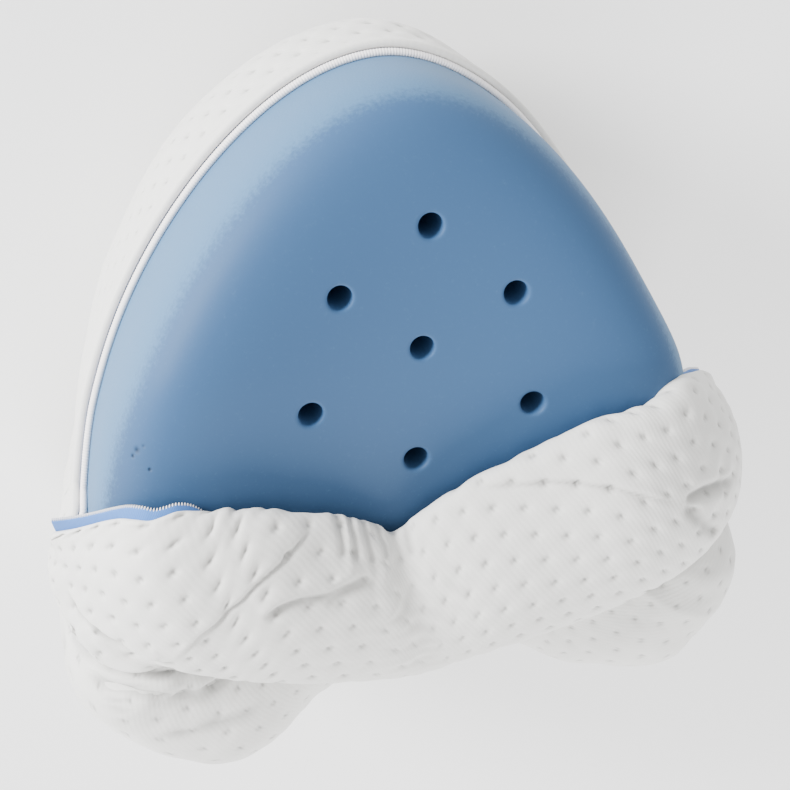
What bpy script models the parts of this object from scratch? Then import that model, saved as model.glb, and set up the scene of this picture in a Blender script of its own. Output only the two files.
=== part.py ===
"""Contoured leg and knee pillow: a moulded foam core in a knit cover whose zip is open.

The pillow lies on its back. +Z is up, out of the front leg face, +Y points to the narrow end and +X to the
right of someone who looks down on the face. Sizes are in metres. The origin is under the middle of the pillow,
on the surface that it lies on.
"""

import math

import bmesh
import bpy
from mathutils import Vector
from mathutils.bvhtree import BVHTree

MM = 0.001

# Foam core
HALF_WIDTH = 112 * MM          # at its widest, near the feet
TIP_Y = 119 * MM               # narrow end
WIDEST_Y = -54 * MM
FOOT_Y = -112 * MM             # lowest point of each foot
FOOT_X = 80 * MM               # how far a foot's lowest point is from the middle
ARCH_Y = -82 * MM              # top of the arch between the feet
EGG_POWER = 0.530              # how blunt the narrow end is
CORNER_POWER = 2.6             # how square the outer corners of the feet are
CENTRE_Y = 0.0                 # middle that the faces shrink towards
MIDDLE_Z = 77 * MM             # height of the zip line's plane
HALF_THICK = 69 * MM           # from that plane to the middle of a leg face
DISH = 11.5 * MM               # rise of the leg face at DISH_X from the middle line
DISH_X = 85 * MM
BOW = 12 * MM                  # fall of the leg face at BOW_Y from BOW_MIDDLE_Y
BOW_Y = 120 * MM
BOW_MIDDLE_Y = 30 * MM
EDGE_POWER = 4.6               # squareness of the wall's section
VENT_RADIUS = 4.3 * MM
VENT_SIDES = 16
VENT_ROWS = (                  # y of a row, x of its holes
    (78 * MM, (0.0,)),
    (55 * MM, (-30 * MM, 30 * MM)),
    (35 * MM, (0.0,)),
    (13.5 * MM, (-39 * MM, 39 * MM)),
    (-8 * MM, (0.0,)),
)

# Cloth and zip
CLOTH = 3.0 * MM               # quilted knit
TAPE = 1.2 * MM
AIR = 0.5 * MM                 # between pieces that touch
TAPE_SIDE = 9 * MM             # width of a zip tape
TAPE_PROUD = 3.6 * MM          # how far it stands past the cover's edge

GROUND = 2.0 * MM              # the foam's weight presses the back ridges flat up to here
FLOOR_FOAM = GROUND + CLOTH + AIR

# The tables below are about the foam's own axis: under the middle of the whole pillow, loose cloth and all, is here.
ORIGIN = Vector((5.65 * MM, -9.4 * MM, GROUND))

# Mesh
AROUND = 56                    # stations round the outline
ROWS = 22                      # rows from the middle of one face to the middle of the other


def blend(t, low, high):
    """Smooth step from 0 at low to 1 at high."""
    t = min(1.0, max(0.0, (t - low) / (high - low)))
    return t * t * (3 - 2 * t)


def evenly(points, count):
    """count + 1 points at equal steps of length along a polyline."""
    lengths = [0.0]
    for a, b in zip(points, points[1:]):
        lengths.append(lengths[-1] + math.dist(a, b))
    result = []
    place = 0
    for i in range(count + 1):
        want = lengths[-1] * i / count
        while place < len(points) - 2 and lengths[place + 1] < want:
            place += 1
        span = lengths[place + 1] - lengths[place]
        t = (want - lengths[place]) / span if span else 0.0
        a, b = points[place], points[place + 1]
        result.append(tuple(u + (v - u) * t for u, v in zip(a, b)))
    return result


def half_outline():
    """Right half of the plan outline, from the narrow end to the arch's middle."""
    points = []
    steps = 200
    for i in range(steps + 1):
        t = 1 - (i / steps) ** 2
        x = HALF_WIDTH * math.cos(math.pi * t / 2) ** EGG_POWER
        points.append((x, WIDEST_Y + (TIP_Y - WIDEST_Y) * t))
    for i in range(1, steps + 1):
        a = math.pi / 2 * i / steps
        x = FOOT_X + (HALF_WIDTH - FOOT_X) * math.cos(a) ** (2 / CORNER_POWER)
        points.append((x, WIDEST_Y + (FOOT_Y - WIDEST_Y) * math.sin(a) ** (2 / CORNER_POWER)))
    for i in range(1, steps + 1):
        x = FOOT_X * (1 - i / steps)
        points.append((x, FOOT_Y + (ARCH_Y - FOOT_Y) * (1 + math.cos(math.pi * x / FOOT_X)) / 2))
    return points


def wall_section():
    """Shrink and rise of the surface, from the front face's middle round the wall to the back face's middle."""
    points = []
    steps = 600
    for i in range(steps + 1):
        a = math.pi * i / steps
        shrink = math.sin(a) ** (2 / EDGE_POWER) if 0 < i < steps else 0.0
        rise = math.copysign(abs(math.cos(a)) ** (2 / EDGE_POWER), math.cos(a))
        points.append((HALF_WIDTH * shrink, HALF_THICK * rise))
    return [(x / HALF_WIDTH, z / HALF_THICK) for x, z in evenly(points, 400)]


OUTLINE = evenly(half_outline(), 400)
SECTION = wall_section()


def read(table, t):
    """Value of a table of pairs at t from 0 to 1."""
    place = min(max(t, 0.0), 1.0) * (len(table) - 1)
    i = min(int(place), len(table) - 2)
    a, b = table[i], table[i + 1]
    return tuple(u + (v - u) * (place - i) for u, v in zip(a, b))


def half_thickness(x, y):
    """Height of the uncut leg face above the middle plane."""
    return HALF_THICK + DISH * (x / DISH_X) ** 2 - BOW * ((y - BOW_MIDDLE_Y) / BOW_Y) ** 2


def skin(q, v, off=0.0):
    """Point of the foam's surface, moved out by off.

    q runs from -1 to 1 round the outline: 0 is the narrow end, the sign is the side, and 1 is the arch.
    v runs from 0 at the front face's middle, over the zip line at 0.5, to 1 at the back face's middle.
    """
    point = bare_skin(q, v)
    if not off:
        return point
    if v > 0.995:
        return point - Vector((0, 0, off))
    step = 0.004
    along = bare_skin(q + step, v) - bare_skin(q - step, v)
    across = bare_skin(q, v + step) - bare_skin(q, v - step)
    return point + off * along.cross(across).normalized()


def bare_skin(q, v):
    if q > 1:
        q -= 2
    if q < -1:
        q += 2
    side = -1 if q < 0 else 1
    x, y = read(OUTLINE, abs(q))
    shrink, rise = read(SECTION, v)
    x *= shrink * side
    y = CENTRE_Y + (y - CENTRE_Y) * shrink
    return Vector((x, y, MIDDLE_Z + rise * half_thickness(x, y)))


def new_object(name, mesh, colour, roughness):
    mesh.shade_smooth()
    mesh.set_sharp_from_angle(angle=math.radians(40))
    body = bpy.data.objects.new(name, mesh)
    bpy.context.scene.collection.objects.link(body)
    material = bpy.data.materials.new(name)
    material.use_nodes = True
    shader = material.node_tree.nodes["Principled BSDF"]
    shader.inputs["Base Color"].default_value = (*colour, 1)
    shader.inputs["Roughness"].default_value = roughness
    shader.inputs["Metallic"].default_value = 0.0
    mesh.materials.append(material)
    return body


def finish_mesh(name, bm):
    bmesh.ops.triangulate(bm, faces=bm.faces[:])
    bmesh.ops.recalc_face_normals(bm, faces=bm.faces[:])
    bmesh.ops.translate(bm, verts=bm.verts, vec=-ORIGIN)
    mesh = bpy.data.meshes.new(name)
    bm.to_mesh(mesh)
    bm.free()
    return mesh


def stations():
    return [-1 + 2 * (i + 0.5) / AROUND for i in range(AROUND)]


def floor_clamp(point, lowest):
    point.z = max(point.z, lowest)
    return point


def build_foam():
    bm = bmesh.new()
    rings = []
    for row in range(1, ROWS):
        ring = [bm.verts.new(floor_clamp(skin(q, row / ROWS), FLOOR_FOAM)) for q in stations()]
        rings.append(ring)
    front = bm.verts.new(skin(0.0, 0.0))
    back = bm.verts.new(skin(0.0, 1.0))
    for ring, pole in ((rings[0], front), (rings[-1], back)):
        for a, b in zip(ring, ring[1:] + ring[:1]):
            bm.faces.new((pole, a, b))
    for upper, lower in zip(rings, rings[1:]):
        for i in range(AROUND):
            j = (i + 1) % AROUND
            bm.faces.new((upper[i], lower[i], lower[j], upper[j]))
    foam = new_object("foam_core", finish_mesh("foam_core", bm), (0.13, 0.25, 0.43), 0.75)

    cutter = bmesh.new()
    for y, xs in VENT_ROWS:
        for x in xs:
            made = bmesh.ops.create_cone(
                cutter, cap_ends=True, segments=VENT_SIDES, radius1=VENT_RADIUS, radius2=VENT_RADIUS,
                depth=4 * HALF_THICK)
            bmesh.ops.translate(cutter, verts=made["verts"], vec=Vector((x, y, MIDDLE_Z)) - ORIGIN)
    mesh = bpy.data.meshes.new("vent_cutter")
    cutter.to_mesh(mesh)
    cutter.free()
    vents = bpy.data.objects.new("vent_cutter", mesh)
    vents.hide_render = True
    vents.display_type = "WIRE"
    bpy.context.scene.collection.objects.link(vents)
    cut = foam.modifiers.new("vents", "BOOLEAN")
    cut.operation = "DIFFERENCE"
    cut.solver = "EXACT"
    cut.object = vents
    return foam


# How the back panel hangs on the foam: place round the outline (0 narrow end, 1 arch), the extra room between foam
# and cloth at the panel's edge, from there to the zip line and below it, and where the edge is (0.5 is the zip
# line, less is further onto the front face).
BACK_LEFT = (
    # place, room at edge, above, below, edge, rooms in mm
    (0.00, 0.0, 0.0, 4.0, 0.485),
    (0.20, 0.0, 0.0, 5.0, 0.485),
    (0.34, 0.0, 0.0, 2.5, 0.485),
    (0.45, 0.0, 0.0, 0.0, 0.480),
    (0.53, 0.0, 0.0, 0.0, 0.460),
    (0.56, 5.0, 4.0, 2.0, 0.415),
    (0.60, 5.0, 7.0, 5.0, 0.390),
    (0.64, 3.0, 9.0, 7.0, 0.320),
    (0.71, 0.0, 18.0, 14.0, 0.228),
    (0.80, 0.0, 31.0, 23.0, 0.210),
    (0.88, 0.0, 22.0, 18.0, 0.225),
    (1.00, 0.0, 9.0, 9.0, 0.280),
)
BACK_RIGHT = (
    # place, room at edge, above, below, edge, rooms in mm
    (0.00, 0.0, 0.0, 4.0, 0.485),
    (0.10, 0.0, 0.0, 2.0, 0.490),
    (0.22, 0.0, 0.0, 0.0, 0.520),
    (0.32, 0.0, 0.0, 0.0, 0.520),
    (0.40, 0.0, 0.0, 0.5, 0.475),
    (0.45, 1.0, 4.0, 4.0, 0.430),
    (0.50, 3.0, 12.0, 10.0, 0.350),
    (0.55, 3.0, 18.0, 14.0, 0.290),
    (0.62, 2.0, 23.0, 18.0, 0.245),
    (0.69, 1.0, 18.0, 15.0, 0.205),
    (0.765, 0.5, 6.0, 7.0, 0.190),
    (0.84, 0.5, 1.5, 3.0, 0.225),
    (0.92, 0.0, 4.0, 5.0, 0.250),
    (1.00, 0.0, 9.0, 9.0, 0.280),
)
EDGE_ROOM = AIR + TAPE + AIR   # room for the zip tape inside the edge
TAPE_DEEP = 0.02               # how far in the zip tape needs it, as a share of the section
JOIN_ROW = ROWS // 2 + 1       # first row of the section below the zip line
EDGE_ROWS = 5                  # rows from the panel's edge to there


def back_fit(q):
    """Distance to the foam at the back panel's edge, above and below the zip line, and the edge, at q."""
    q = (q + 1) % 2 - 1
    place = abs(q)
    table = BACK_LEFT if q < 0 else BACK_RIGHT
    i = 1
    while table[i][0] < place:
        i += 1
    low, high = table[i - 1], table[i]
    t = blend(place, low[0], high[0])
    at_edge, above, below, edge = (a + (b - a) * t for a, b in zip(low[1:], high[1:]))
    return EDGE_ROOM + at_edge * MM, AIR + above * MM, AIR + below * MM, edge


def back_room(q, v):
    """Distance from the foam to the inside of the back panel."""
    at_edge, above, below, edge = back_fit(q)
    start = max(edge + 0.02, 0.25)
    room = at_edge + (above - at_edge) * blend(v, start, start + 0.10)
    room += (below - room) * blend(v, 0.50, 0.58)
    room += (AIR - room) * blend(v, 0.62, 0.77)
    return max(room, EDGE_ROOM + (AIR - EDGE_ROOM) * blend(v, edge + TAPE_DEEP, edge + 2 * TAPE_DEEP))


def build_cover_back():
    bm = bmesh.new()
    below = [row / ROWS for row in range(JOIN_ROW, ROWS)]
    inside, outside = [], []
    for q in stations():
        edge = back_fit(q)[-1]
        rows = [edge + (below[0] - edge) * i / EDGE_ROWS for i in range(EDGE_ROWS)] + below
        inside.append([bm.verts.new(floor_clamp(skin(q, v, back_room(q, v)), GROUND + CLOTH)) for v in rows])
        outside.append([bm.verts.new(floor_clamp(skin(q, v, back_room(q, v) + CLOTH), GROUND)) for v in rows])
    for i in range(AROUND):
        j = (i + 1) % AROUND
        for columns in (inside, outside):
            for k in range(len(columns[i]) - 1):
                bm.faces.new((columns[i][k], columns[i][k + 1], columns[j][k + 1], columns[j][k]))
        bm.faces.new((inside[i][0], inside[j][0], outside[j][0], outside[i][0]))
    for columns, off in ((inside, AIR), (outside, AIR + CLOTH)):
        pole = bm.verts.new(skin(0.0, 1.0, off))
        for i in range(AROUND):
            bm.faces.new((pole, columns[i][-1], columns[(i + 1) % AROUND][-1]))
    return new_object("cover_back", finish_mesh("cover_back", bm), (0.78, 0.78, 0.76), 0.9)


# The front panel, from the left end of the zip to the right. seam is the place of its seam on the back panel's
# edge: it starts on the left and passes -1, the arch, to the right. top and low are the rolled top edge and the
# lower fold. crown is how far the cloth stands out between them, low_turn and top_turn how far the sheet stands off
# where it turns, tuck how long it is past the top edge, down to the zip tape, and fold how far it turns there.
FRONT_PANEL = (
    # seam, top x y z, low x y z, crown, low_turn, top_turn, tuck in mm, fold in degrees
    (-0.580, -124, -43, 117, -124, -50, 111, 0, 0, 4, 3, 0),
    (-0.620, -113, -33, 133, -119, -60, 123, 3, 1, 6, 4, 0),
    (-0.660, -100, -19, 153, -104, -74, 144, 7, 4, 8, 5, 10),
    (-0.710, -89, -13, 160, -85, -82, 152, 11, 7, 9, 9, 60),
    (-0.785, -75, -13, 162, -66, -88, 151, 13, 8, 9, 20, 135),
    (-0.870, -60, -12, 163, -42, -96, 149, 15, 9, 12, 36, 175),
    (-0.945, -38, -17, 161, -20, -100, 146, 15, 9, 12, 42, 180),
    (-1.000, -20, -23, 158, -2, -100, 146, 14, 9, 11, 40, 180),
    (-1.045, -10, -28, 154, 8, -99, 146, 12, 9, 9, 36, 180),
    (-1.090, -1, -23, 156, 21, -97, 146, 13, 9, 10, 38, 180),
    (-1.155, 14, -11, 160, 38, -92, 147, 16, 9, 12, 42, 180),
    (-1.230, 42, 4, 164, 59, -85, 148, 17, 9, 13, 42, 180),
    (-1.305, 63, 15, 166, 82, -69, 157, 15, 8, 12, 34, 180),
    (-1.370, 85, 19, 160, 102, -52, 161, 11, 6, 9, 20, 140),
    (-1.445, 105, 17, 145, 125, -45, 143, 9, 5, 9, 9, 75),
    (-1.500, 121, 2, 121, 137, -40, 118, 5, 3, 5, 4, 10),
)
PANEL_STATIONS = 42
PANEL_STEPS = 21
SPLINE_STEPS = 12


def smooth_row(rows, t):
    """Row of a table at t from 0 to 1, on a smooth curve through the rows."""
    place = min(max(t, 0.0), 1.0) * (len(rows) - 1)
    i = min(int(place), len(rows) - 2)
    t = place - i
    before, a, b, after = rows[max(i - 1, 0)], rows[i], rows[i + 1], rows[min(i + 2, len(rows) - 1)]
    return [
        ((2 * q) + (r - p) * t + (2 * p - 5 * q + 4 * r - s) * t ** 2 + (3 * q - p - 3 * r + s) * t ** 3) / 2
        for p, q, r, s in zip(before, a, b, after)]


LAP = 0.012                    # how far past the back panel's edge its thickness still counts
LAP_SLOPE = 0.035
FIRST_V, LAST_V = 0.10, 0.85   # part of the section that the front panel can touch
SLACK = 2.1 * MM               # between the front panel and what it lies on
HULL_ROWS = 60


def hull():
    """Surface that the middle of the front panel stays outside of."""
    points, faces = [], []
    for i, q in enumerate(stations()):
        edge = back_fit(q)[-1]
        for j in range(HULL_ROWS + 1):
            v = FIRST_V + (LAST_V - FIRST_V) * j / HULL_ROWS
            on_back = blend(v, edge - LAP - LAP_SLOPE, edge - LAP)
            points.append(skin(q, v, SLACK + CLOTH / 2 + (back_room(q, v) + CLOTH) * on_back))
        here = i * (HULL_ROWS + 1)
        there = (i + 1) % AROUND * (HULL_ROWS + 1)
        faces += [(here + j, there + j, there + j + 1, here + j + 1) for j in range(HULL_ROWS)]
    return BVHTree.FromPolygons(points, faces)


HULL = hull()


def keep_clear(point, spare=0.0):
    """Point of the front panel's middle surface, pushed out of the foam and the back panel."""
    surface, out = HULL.find_nearest(point)[:2]
    depth = (point - surface).dot(out) - spare
    return point - out * depth if depth < 0 else point


LOW_TURN_MOST = 9 * MM
LAYER = 5 * MM                 # from the cloth under the lower fold to the cloth over it
LAYER_FROM = 6 * MM            # lower folds of less turn have no layer under them
END_LEAST = 1 * MM             # least straight part past the bend at the zip edge
SEAM_LAP = 0.018               # how far the front panel's seam lies past the back panel's edge
END_STEPS = 3                  # steps at the zip edge that keep clear by the tape's width too


def panel_line(t):
    """The front panel's middle surface at station t, from its seam to its zip edge."""
    row = smooth_row(FRONT_PANEL, t)
    top, low = Vector(row[1:4]) * MM, Vector(row[4:7]) * MM
    crown, low_turn, top_turn, tuck = (value * MM for value in row[7:11])
    fold = math.radians(min(180, max(1, row[11])))
    q = (row[0] + 1) % 2 - 1
    edge = back_fit(q)[-1]
    on_back = AIR + CLOTH * 1.5
    seam = skin(q, edge + SEAM_LAP, back_room(q, edge + SEAM_LAP) + on_back)
    behind = skin(q, edge + 0.035, back_room(q, edge + 0.035) + on_back)
    up = top - low
    up.normalize()
    out = Vector((low.x + top.x, 0, low.z + top.z)) / 2 - Vector((0, 0, MIDDLE_Z - 30 * MM))
    out.x *= 0.2 + 0.7 * blend(abs(out.x), 80 * MM, 105 * MM)
    out = (out - up * out.dot(up)).normalized()
    bend = max(top_turn / 2 * fold, tuck / 2)
    radius = bend / fold
    start = top - up * radius * 1.5 * math.sin(min(fold, math.pi / 2))
    long = (start - low).length
    turned = [start + up * radius * math.sin(a) - out * radius * (1 - math.cos(a))
              for a in (fold / 3, fold * 2 / 3, fold)]
    inward = up * math.cos(fold) - out * math.sin(fold)
    knots = [
        seam,
        seam.lerp(behind, low_turn / LOW_TURN_MOST).lerp(low - out * low_turn, 0.5),
        low,
        low + up * (0.22 * long) + out * (0.70 * crown),
        low + up * (0.50 * long) + out * crown,
        low + up * (0.78 * long) + out * (0.74 * crown),
        start,
        *turned,
        turned[-1] + inward * max(tuck - bend, END_LEAST),
    ]
    rows = [tuple(knot) for knot in knots]
    spans = (len(knots) - 1) * SPLINE_STEPS
    line = [tuple(smooth_row(rows, i / spans)) for i in range(spans + 1)]
    line = [Vector(p) for p in evenly(line, PANEL_STEPS)]
    near = min(range(len(line)), key=lambda j: (line[j] - low).length)
    result = []
    for j, p in enumerate(line):
        layer = LAYER * blend(j, near - 1, near + 1) * (1 - blend(j, near + 4, near + 8))
        layer *= blend(low_turn, LAYER_FROM, LOW_TURN_MOST)
        end = TAPE_PROUD * math.sin(fold) * max(0, j - PANEL_STEPS + END_STEPS) / END_STEPS
        result.append(keep_clear(p, layer + end))
    return result


def sheet_normals(grid):
    """Direction of each point's outer side."""
    across, down = len(grid), len(grid[0])
    normals = []
    for i in range(across):
        before, after = grid[max(i - 1, 0)], grid[min(i + 1, across - 1)]
        normals.append([
            (after[j] - before[j]).cross(grid[i][min(j + 1, down - 1)] - grid[i][max(j - 1, 0)]).normalized()
            for j in range(down)])
    return normals


def sheet_object(name, grid, thick, colour):
    """Closed sheet of a thickness about a grid of points."""
    across, down = len(grid), len(grid[0])
    normals = sheet_normals(grid)
    bm = bmesh.new()
    faces = []
    for side in (0.5, -0.5):
        faces.append([[bm.verts.new(p + n * thick * side) for p, n in zip(line, line_normals)]
                      for line, line_normals in zip(grid, normals)])
    one, two = faces
    for layer in faces:
        for i in range(across - 1):
            for j in range(down - 1):
                bm.faces.new((layer[i][j], layer[i][j + 1], layer[i + 1][j + 1], layer[i + 1][j]))
    rim = [(i, 0) for i in range(across)] + [(across - 1, j) for j in range(1, down)]
    rim += [(i, down - 1) for i in range(across - 2, -1, -1)] + [(0, j) for j in range(down - 2, 0, -1)]
    for (i, j), (k, m) in zip(rim, rim[1:] + rim[:1]):
        bm.faces.new((one[i][j], one[k][m], two[k][m], two[i][j]))
    return new_object(name, finish_mesh(name, bm), colour, 0.9)


SEAM_STEPS = 8                 # rows of the front panel, from its seam, that are smoothed
END_STATIONS = 9               # stations at each end that are smoothed
ROUND, SEAM_ROUND = 0.12, 0.80 # how much each line across the panel is rounded, in all and at the seam
ZIP_CALM = 0.35                # share of that smoothing at the zip edge
SETTLES = 5


def settle(grid):
    """Grid smoothed next to the seam and the ends, clear of the foam and the back panel, evenly spaced."""
    calm = []
    for i, line in enumerate(grid):
        before, after = grid[max(i - 1, 0)], grid[min(i + 1, len(grid) - 1)]
        from_end = min(i, len(grid) - 1 - i)
        at_end = 1 - from_end / END_STATIONS
        row = [keep_clear(line[0])]
        for j in range(1, len(line)):
            p = line[j]
            if from_end:
                at_zip = ZIP_CALM * blend(j, PANEL_STEPS - SEAM_STEPS, PANEL_STEPS)
                p = p.lerp((before[j] + after[j]) / 2, 0.7 * max(at_zip, at_end, 1 - j / SEAM_STEPS))
            if j < len(line) - 1:
                p = p.lerp((line[j - 1] + line[j + 1]) / 2, max(ROUND, SEAM_ROUND * (1 - j / SEAM_STEPS)))
            row.append(keep_clear(p))
        calm.append([Vector(p) for p in evenly(row, PANEL_STEPS)])
    return calm


def panel_grid():
    grid = [panel_line(i / (PANEL_STATIONS - 1)) for i in range(PANEL_STATIONS)]
    for _ in range(SETTLES):
        grid = settle(grid)
    return [[keep_clear(p) for p in line] for line in grid]


def build_cover_front():
    return sheet_object("cover_front", panel_grid(), CLOTH, (0.80, 0.80, 0.78))


BACK_TAPE = (-0.540, 0.440)    # where the back panel's half of the zip starts and ends, as places
BACK_TAPE_STATIONS = 44
SECTION_LENGTH = 2 * (HALF_WIDTH + HALF_THICK)   # rough length of the section, from face middle to face middle


def build_zip_tape_back():
    start, end = BACK_TAPE
    grid = []
    for i in range(BACK_TAPE_STATIONS):
        q = start + (end - start) * i / (BACK_TAPE_STATIONS - 1)
        edge = back_fit(q)[-1]
        inside = (TAPE_SIDE - TAPE_PROUD) / SECTION_LENGTH
        proud = TAPE_PROUD / SECTION_LENGTH
        grid.append([skin(q, edge + d, back_room(q, edge + max(d, 0)) - AIR - TAPE / 2)
                     for d in (inside, inside / 2, 0, -proud)])
    return sheet_object("zip_tape_back", grid, TAPE, (0.35, 0.55, 0.85))


def build_zip_tape_front():
    """The front panel's half of the zip, on the inner side of the panel's edge."""
    lines = panel_grid()
    grid = []
    for line, normals in zip(lines, sheet_normals(lines)):
        under = [p - n * (CLOTH / 2 + AIR + TAPE / 2) for p, n in zip(line, normals)]
        back = max(1, round((TAPE_SIDE - TAPE_PROUD) / (line[-1] - line[-2]).length))
        middle = under[-1 - back // 2].lerp(under[-1 - (back + 1) // 2], 0.5)
        along = (line[-1] - line[-2]).normalized()
        grid.append([under[-1 - back], middle, under[-1], under[-1] + along * TAPE_PROUD])
    return sheet_object("zip_tape_front", grid[1:-1], TAPE, (0.35, 0.55, 0.85))


def main():
    for old in list(bpy.data.objects):
        bpy.data.objects.remove(old, do_unlink=True)
    build_foam()
    build_cover_back()
    build_cover_front()
    build_zip_tape_back()
    build_zip_tape_front()


if __name__ == "__main__":
    main()
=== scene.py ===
"""Contoured knee pillow: foam core in a quilted knit cover, its zip open and its front panel pulled down.

The tables below are about the foam's own axis, in metres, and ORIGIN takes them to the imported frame.
"""

import math

import bmesh
import bpy
import numpy as np
from bpy.props import FloatProperty, FloatVectorProperty, PointerProperty
from mathutils import Matrix, Vector, noise
from mathutils.bvhtree import BVHTree
from mathutils.geometry import delaunay_2d_cdt


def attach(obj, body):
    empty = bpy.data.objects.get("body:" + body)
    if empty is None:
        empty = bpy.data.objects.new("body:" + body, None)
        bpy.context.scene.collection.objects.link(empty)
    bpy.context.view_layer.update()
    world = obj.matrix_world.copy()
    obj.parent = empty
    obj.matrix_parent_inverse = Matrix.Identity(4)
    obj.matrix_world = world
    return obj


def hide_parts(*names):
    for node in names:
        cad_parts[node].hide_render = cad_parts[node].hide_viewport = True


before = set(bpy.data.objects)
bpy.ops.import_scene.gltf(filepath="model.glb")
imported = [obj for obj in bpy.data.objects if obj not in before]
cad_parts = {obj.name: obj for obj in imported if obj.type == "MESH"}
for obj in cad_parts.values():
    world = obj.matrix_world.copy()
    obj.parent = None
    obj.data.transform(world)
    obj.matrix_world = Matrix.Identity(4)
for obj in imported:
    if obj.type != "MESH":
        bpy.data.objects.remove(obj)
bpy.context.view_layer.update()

bl_info = {
    "name": "Knee pillow",
    "version": (1, 0, 0),
    "blender": (4, 5, 0),
    "location": "View3D > Sidebar > Pillow",
    "description": "Builds an unzipped contoured knee pillow: foam core, quilted cover and zip",
    "category": "Object",
}

MM = 0.001

# Foam core
HALF_WIDTH = 112 * MM
TIP_Y = 119 * MM
WIDEST_Y = -54 * MM
FOOT_Y = -112 * MM
FOOT_X = 80 * MM
ARCH_Y = -82 * MM
EGG_POWER = 0.530
CORNER_POWER = 2.6
MIDDLE_Z = 77 * MM
HALF_THICK = 69 * MM
DISH = 11.5 * MM
DISH_X = 85 * MM
BOW = 12 * MM
BOW_Y = 120 * MM
BOW_MIDDLE_Y = 30 * MM
EDGE_POWER = 4.6
VENT_RADIUS = 4.3 * MM
VENT_LIP = 1.1 * MM            # radius of the soft lip round a vent hole
VENTS = ((1.5, 75.5), (-28.6, 53), (31.3, 52.3), (0, 34), (-37.8, 12.8), (40, 12.1), (0.2, -8))   # x y, mm

# Cloth and zip
CLOTH = 3.0 * MM
TAPE = 1.2 * MM
AIR = 0.5 * MM
TAPE_SIDE = 9 * MM
TAPE_PROUD = 3.6 * MM
GROUND = 2.0 * MM
FLOOR_FOAM = GROUND + CLOTH + AIR
ORIGIN = np.array((5.65 * MM, -9.4 * MM, GROUND))

# How the back panel hangs on the foam: place round the outline (0 narrow end, 1 arch), extra room between
# foam and cloth at the panel's edge, above the zip line and below it, in mm, and where on the section the
# edge is.
BACK_LEFT = np.array((
    (0.00, 0.0, 0.0, 4.0, 0.485), (0.20, 0.0, 0.0, 5.0, 0.485), (0.34, 0.0, 0.0, 2.5, 0.485),
    (0.45, 0.0, 0.0, 0.0, 0.480), (0.53, 0.0, 0.0, 0.0, 0.460), (0.545, 0.3, 1.0, 0.5, 0.440),
    (0.565, 5.0, 4.0, 2.0, 0.415),
    (0.60, 5.0, 7.0, 5.0, 0.390), (0.64, 3.0, 9.0, 7.0, 0.320), (0.71, 0.0, 18.0, 14.0, 0.228),
    (0.80, 0.0, 31.0, 23.0, 0.210), (0.88, 0.0, 22.0, 18.0, 0.225), (1.00, 0.0, 9.0, 9.0, 0.280)))
BACK_RIGHT = np.array((
    (0.00, 0.0, 0.0, 4.0, 0.485), (0.10, 0.0, 0.0, 2.0, 0.490), (0.22, 0.0, 0.0, 0.0, 0.520),
    (0.32, 0.0, 0.0, 0.0, 0.520), (0.40, 0.0, 0.0, 0.5, 0.475), (0.45, 1.0, 4.0, 4.0, 0.430),
    (0.50, 3.0, 12.0, 10.0, 0.350), (0.55, 3.0, 18.0, 14.0, 0.290), (0.62, 2.0, 23.0, 18.0, 0.245),
    (0.69, 1.0, 18.0, 15.0, 0.205), (0.765, 0.5, 6.0, 7.0, 0.190), (0.84, 0.5, 1.5, 3.0, 0.225),
    (0.92, 0.0, 4.0, 5.0, 0.250), (1.00, 0.0, 9.0, 9.0, 0.280)))
EDGE_ROOM = AIR + TAPE + AIR
TAPE_DEEP = 0.02
EDGE_FOLLOWS = 0.10            # length of section over which the room at the edge turns to that above the zip
ZIP_LINE = (0.50, 0.58)        # where the room above the zip line turns to that below it, along the section
UNDERSIDE = (0.62, 0.77)       # where the cloth closes on the foam below the wall

# The front panel, from the left end of the zip to the right: place of its seam, rolled top edge and lower
# fold (x y z), crown, turn of the lower fold, turn and tuck of the top edge, all in mm, and how far that edge
# folds, in degrees.
FRONT_PANEL = (
    (-0.580, -124, -43, 117, -124, -50, 111, 0, 0, 4, 3, 0),
    (-0.620, -113, -33, 133, -119, -60, 123, 3, 1, 6, 4, 0),
    (-0.660, -100, -19, 153, -104, -74, 144, 7, 4, 8, 5, 10),
    (-0.710, -89, -13, 160, -85, -82, 152, 11, 7, 9, 9, 60),
    (-0.785, -75, -13, 162, -66, -88, 151, 13, 8, 9, 20, 135),
    (-0.870, -60, -12, 163, -42, -96, 149, 15, 9, 12, 36, 175),
    (-0.945, -38, -17, 161, -20, -100, 146, 15, 9, 12, 42, 180),
    (-1.000, -20, -23, 158, -2, -100, 146, 14, 9, 11, 40, 180),
    (-1.045, -10, -28, 154, 8, -99, 146, 12, 9, 9, 36, 180),
    (-1.090, -1, -23, 156, 21, -97, 146, 13, 9, 10, 38, 180),
    (-1.155, 14, -11, 160, 38, -92, 147, 16, 9, 12, 42, 180),
    (-1.230, 42, 4, 164, 59, -85, 148, 17, 9, 13, 42, 180),
    (-1.305, 63, 15, 166, 82, -69, 157, 15, 8, 12, 34, 180),
    (-1.370, 85, 19, 160, 102, -52, 161, 11, 6, 9, 20, 140),
    (-1.445, 105, 17, 145, 125, -45, 143, 9, 5, 9, 9, 75),
    (-1.500, 121, 2, 121, 137, -40, 118, 5, 3, 5, 4, 10),
)
PANEL_STATIONS = 42
PANEL_STEPS = 21
SPLINE_STEPS = 12
LAP = 0.012
LAP_SLOPE = 0.035
FIRST_V, LAST_V = 0.10, 0.85
SLACK = 2.1 * MM
HULL_STATIONS = 56
HULL_ROWS = 60
LOW_TURN_MOST = 9 * MM
LAYER = 5 * MM
LAYER_FROM = 6 * MM
END_LEAST = 1 * MM
SEAM_LAP = 0.018
END_STEPS = 3
SEAM_STEPS = 8
END_STATIONS = 9
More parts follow.
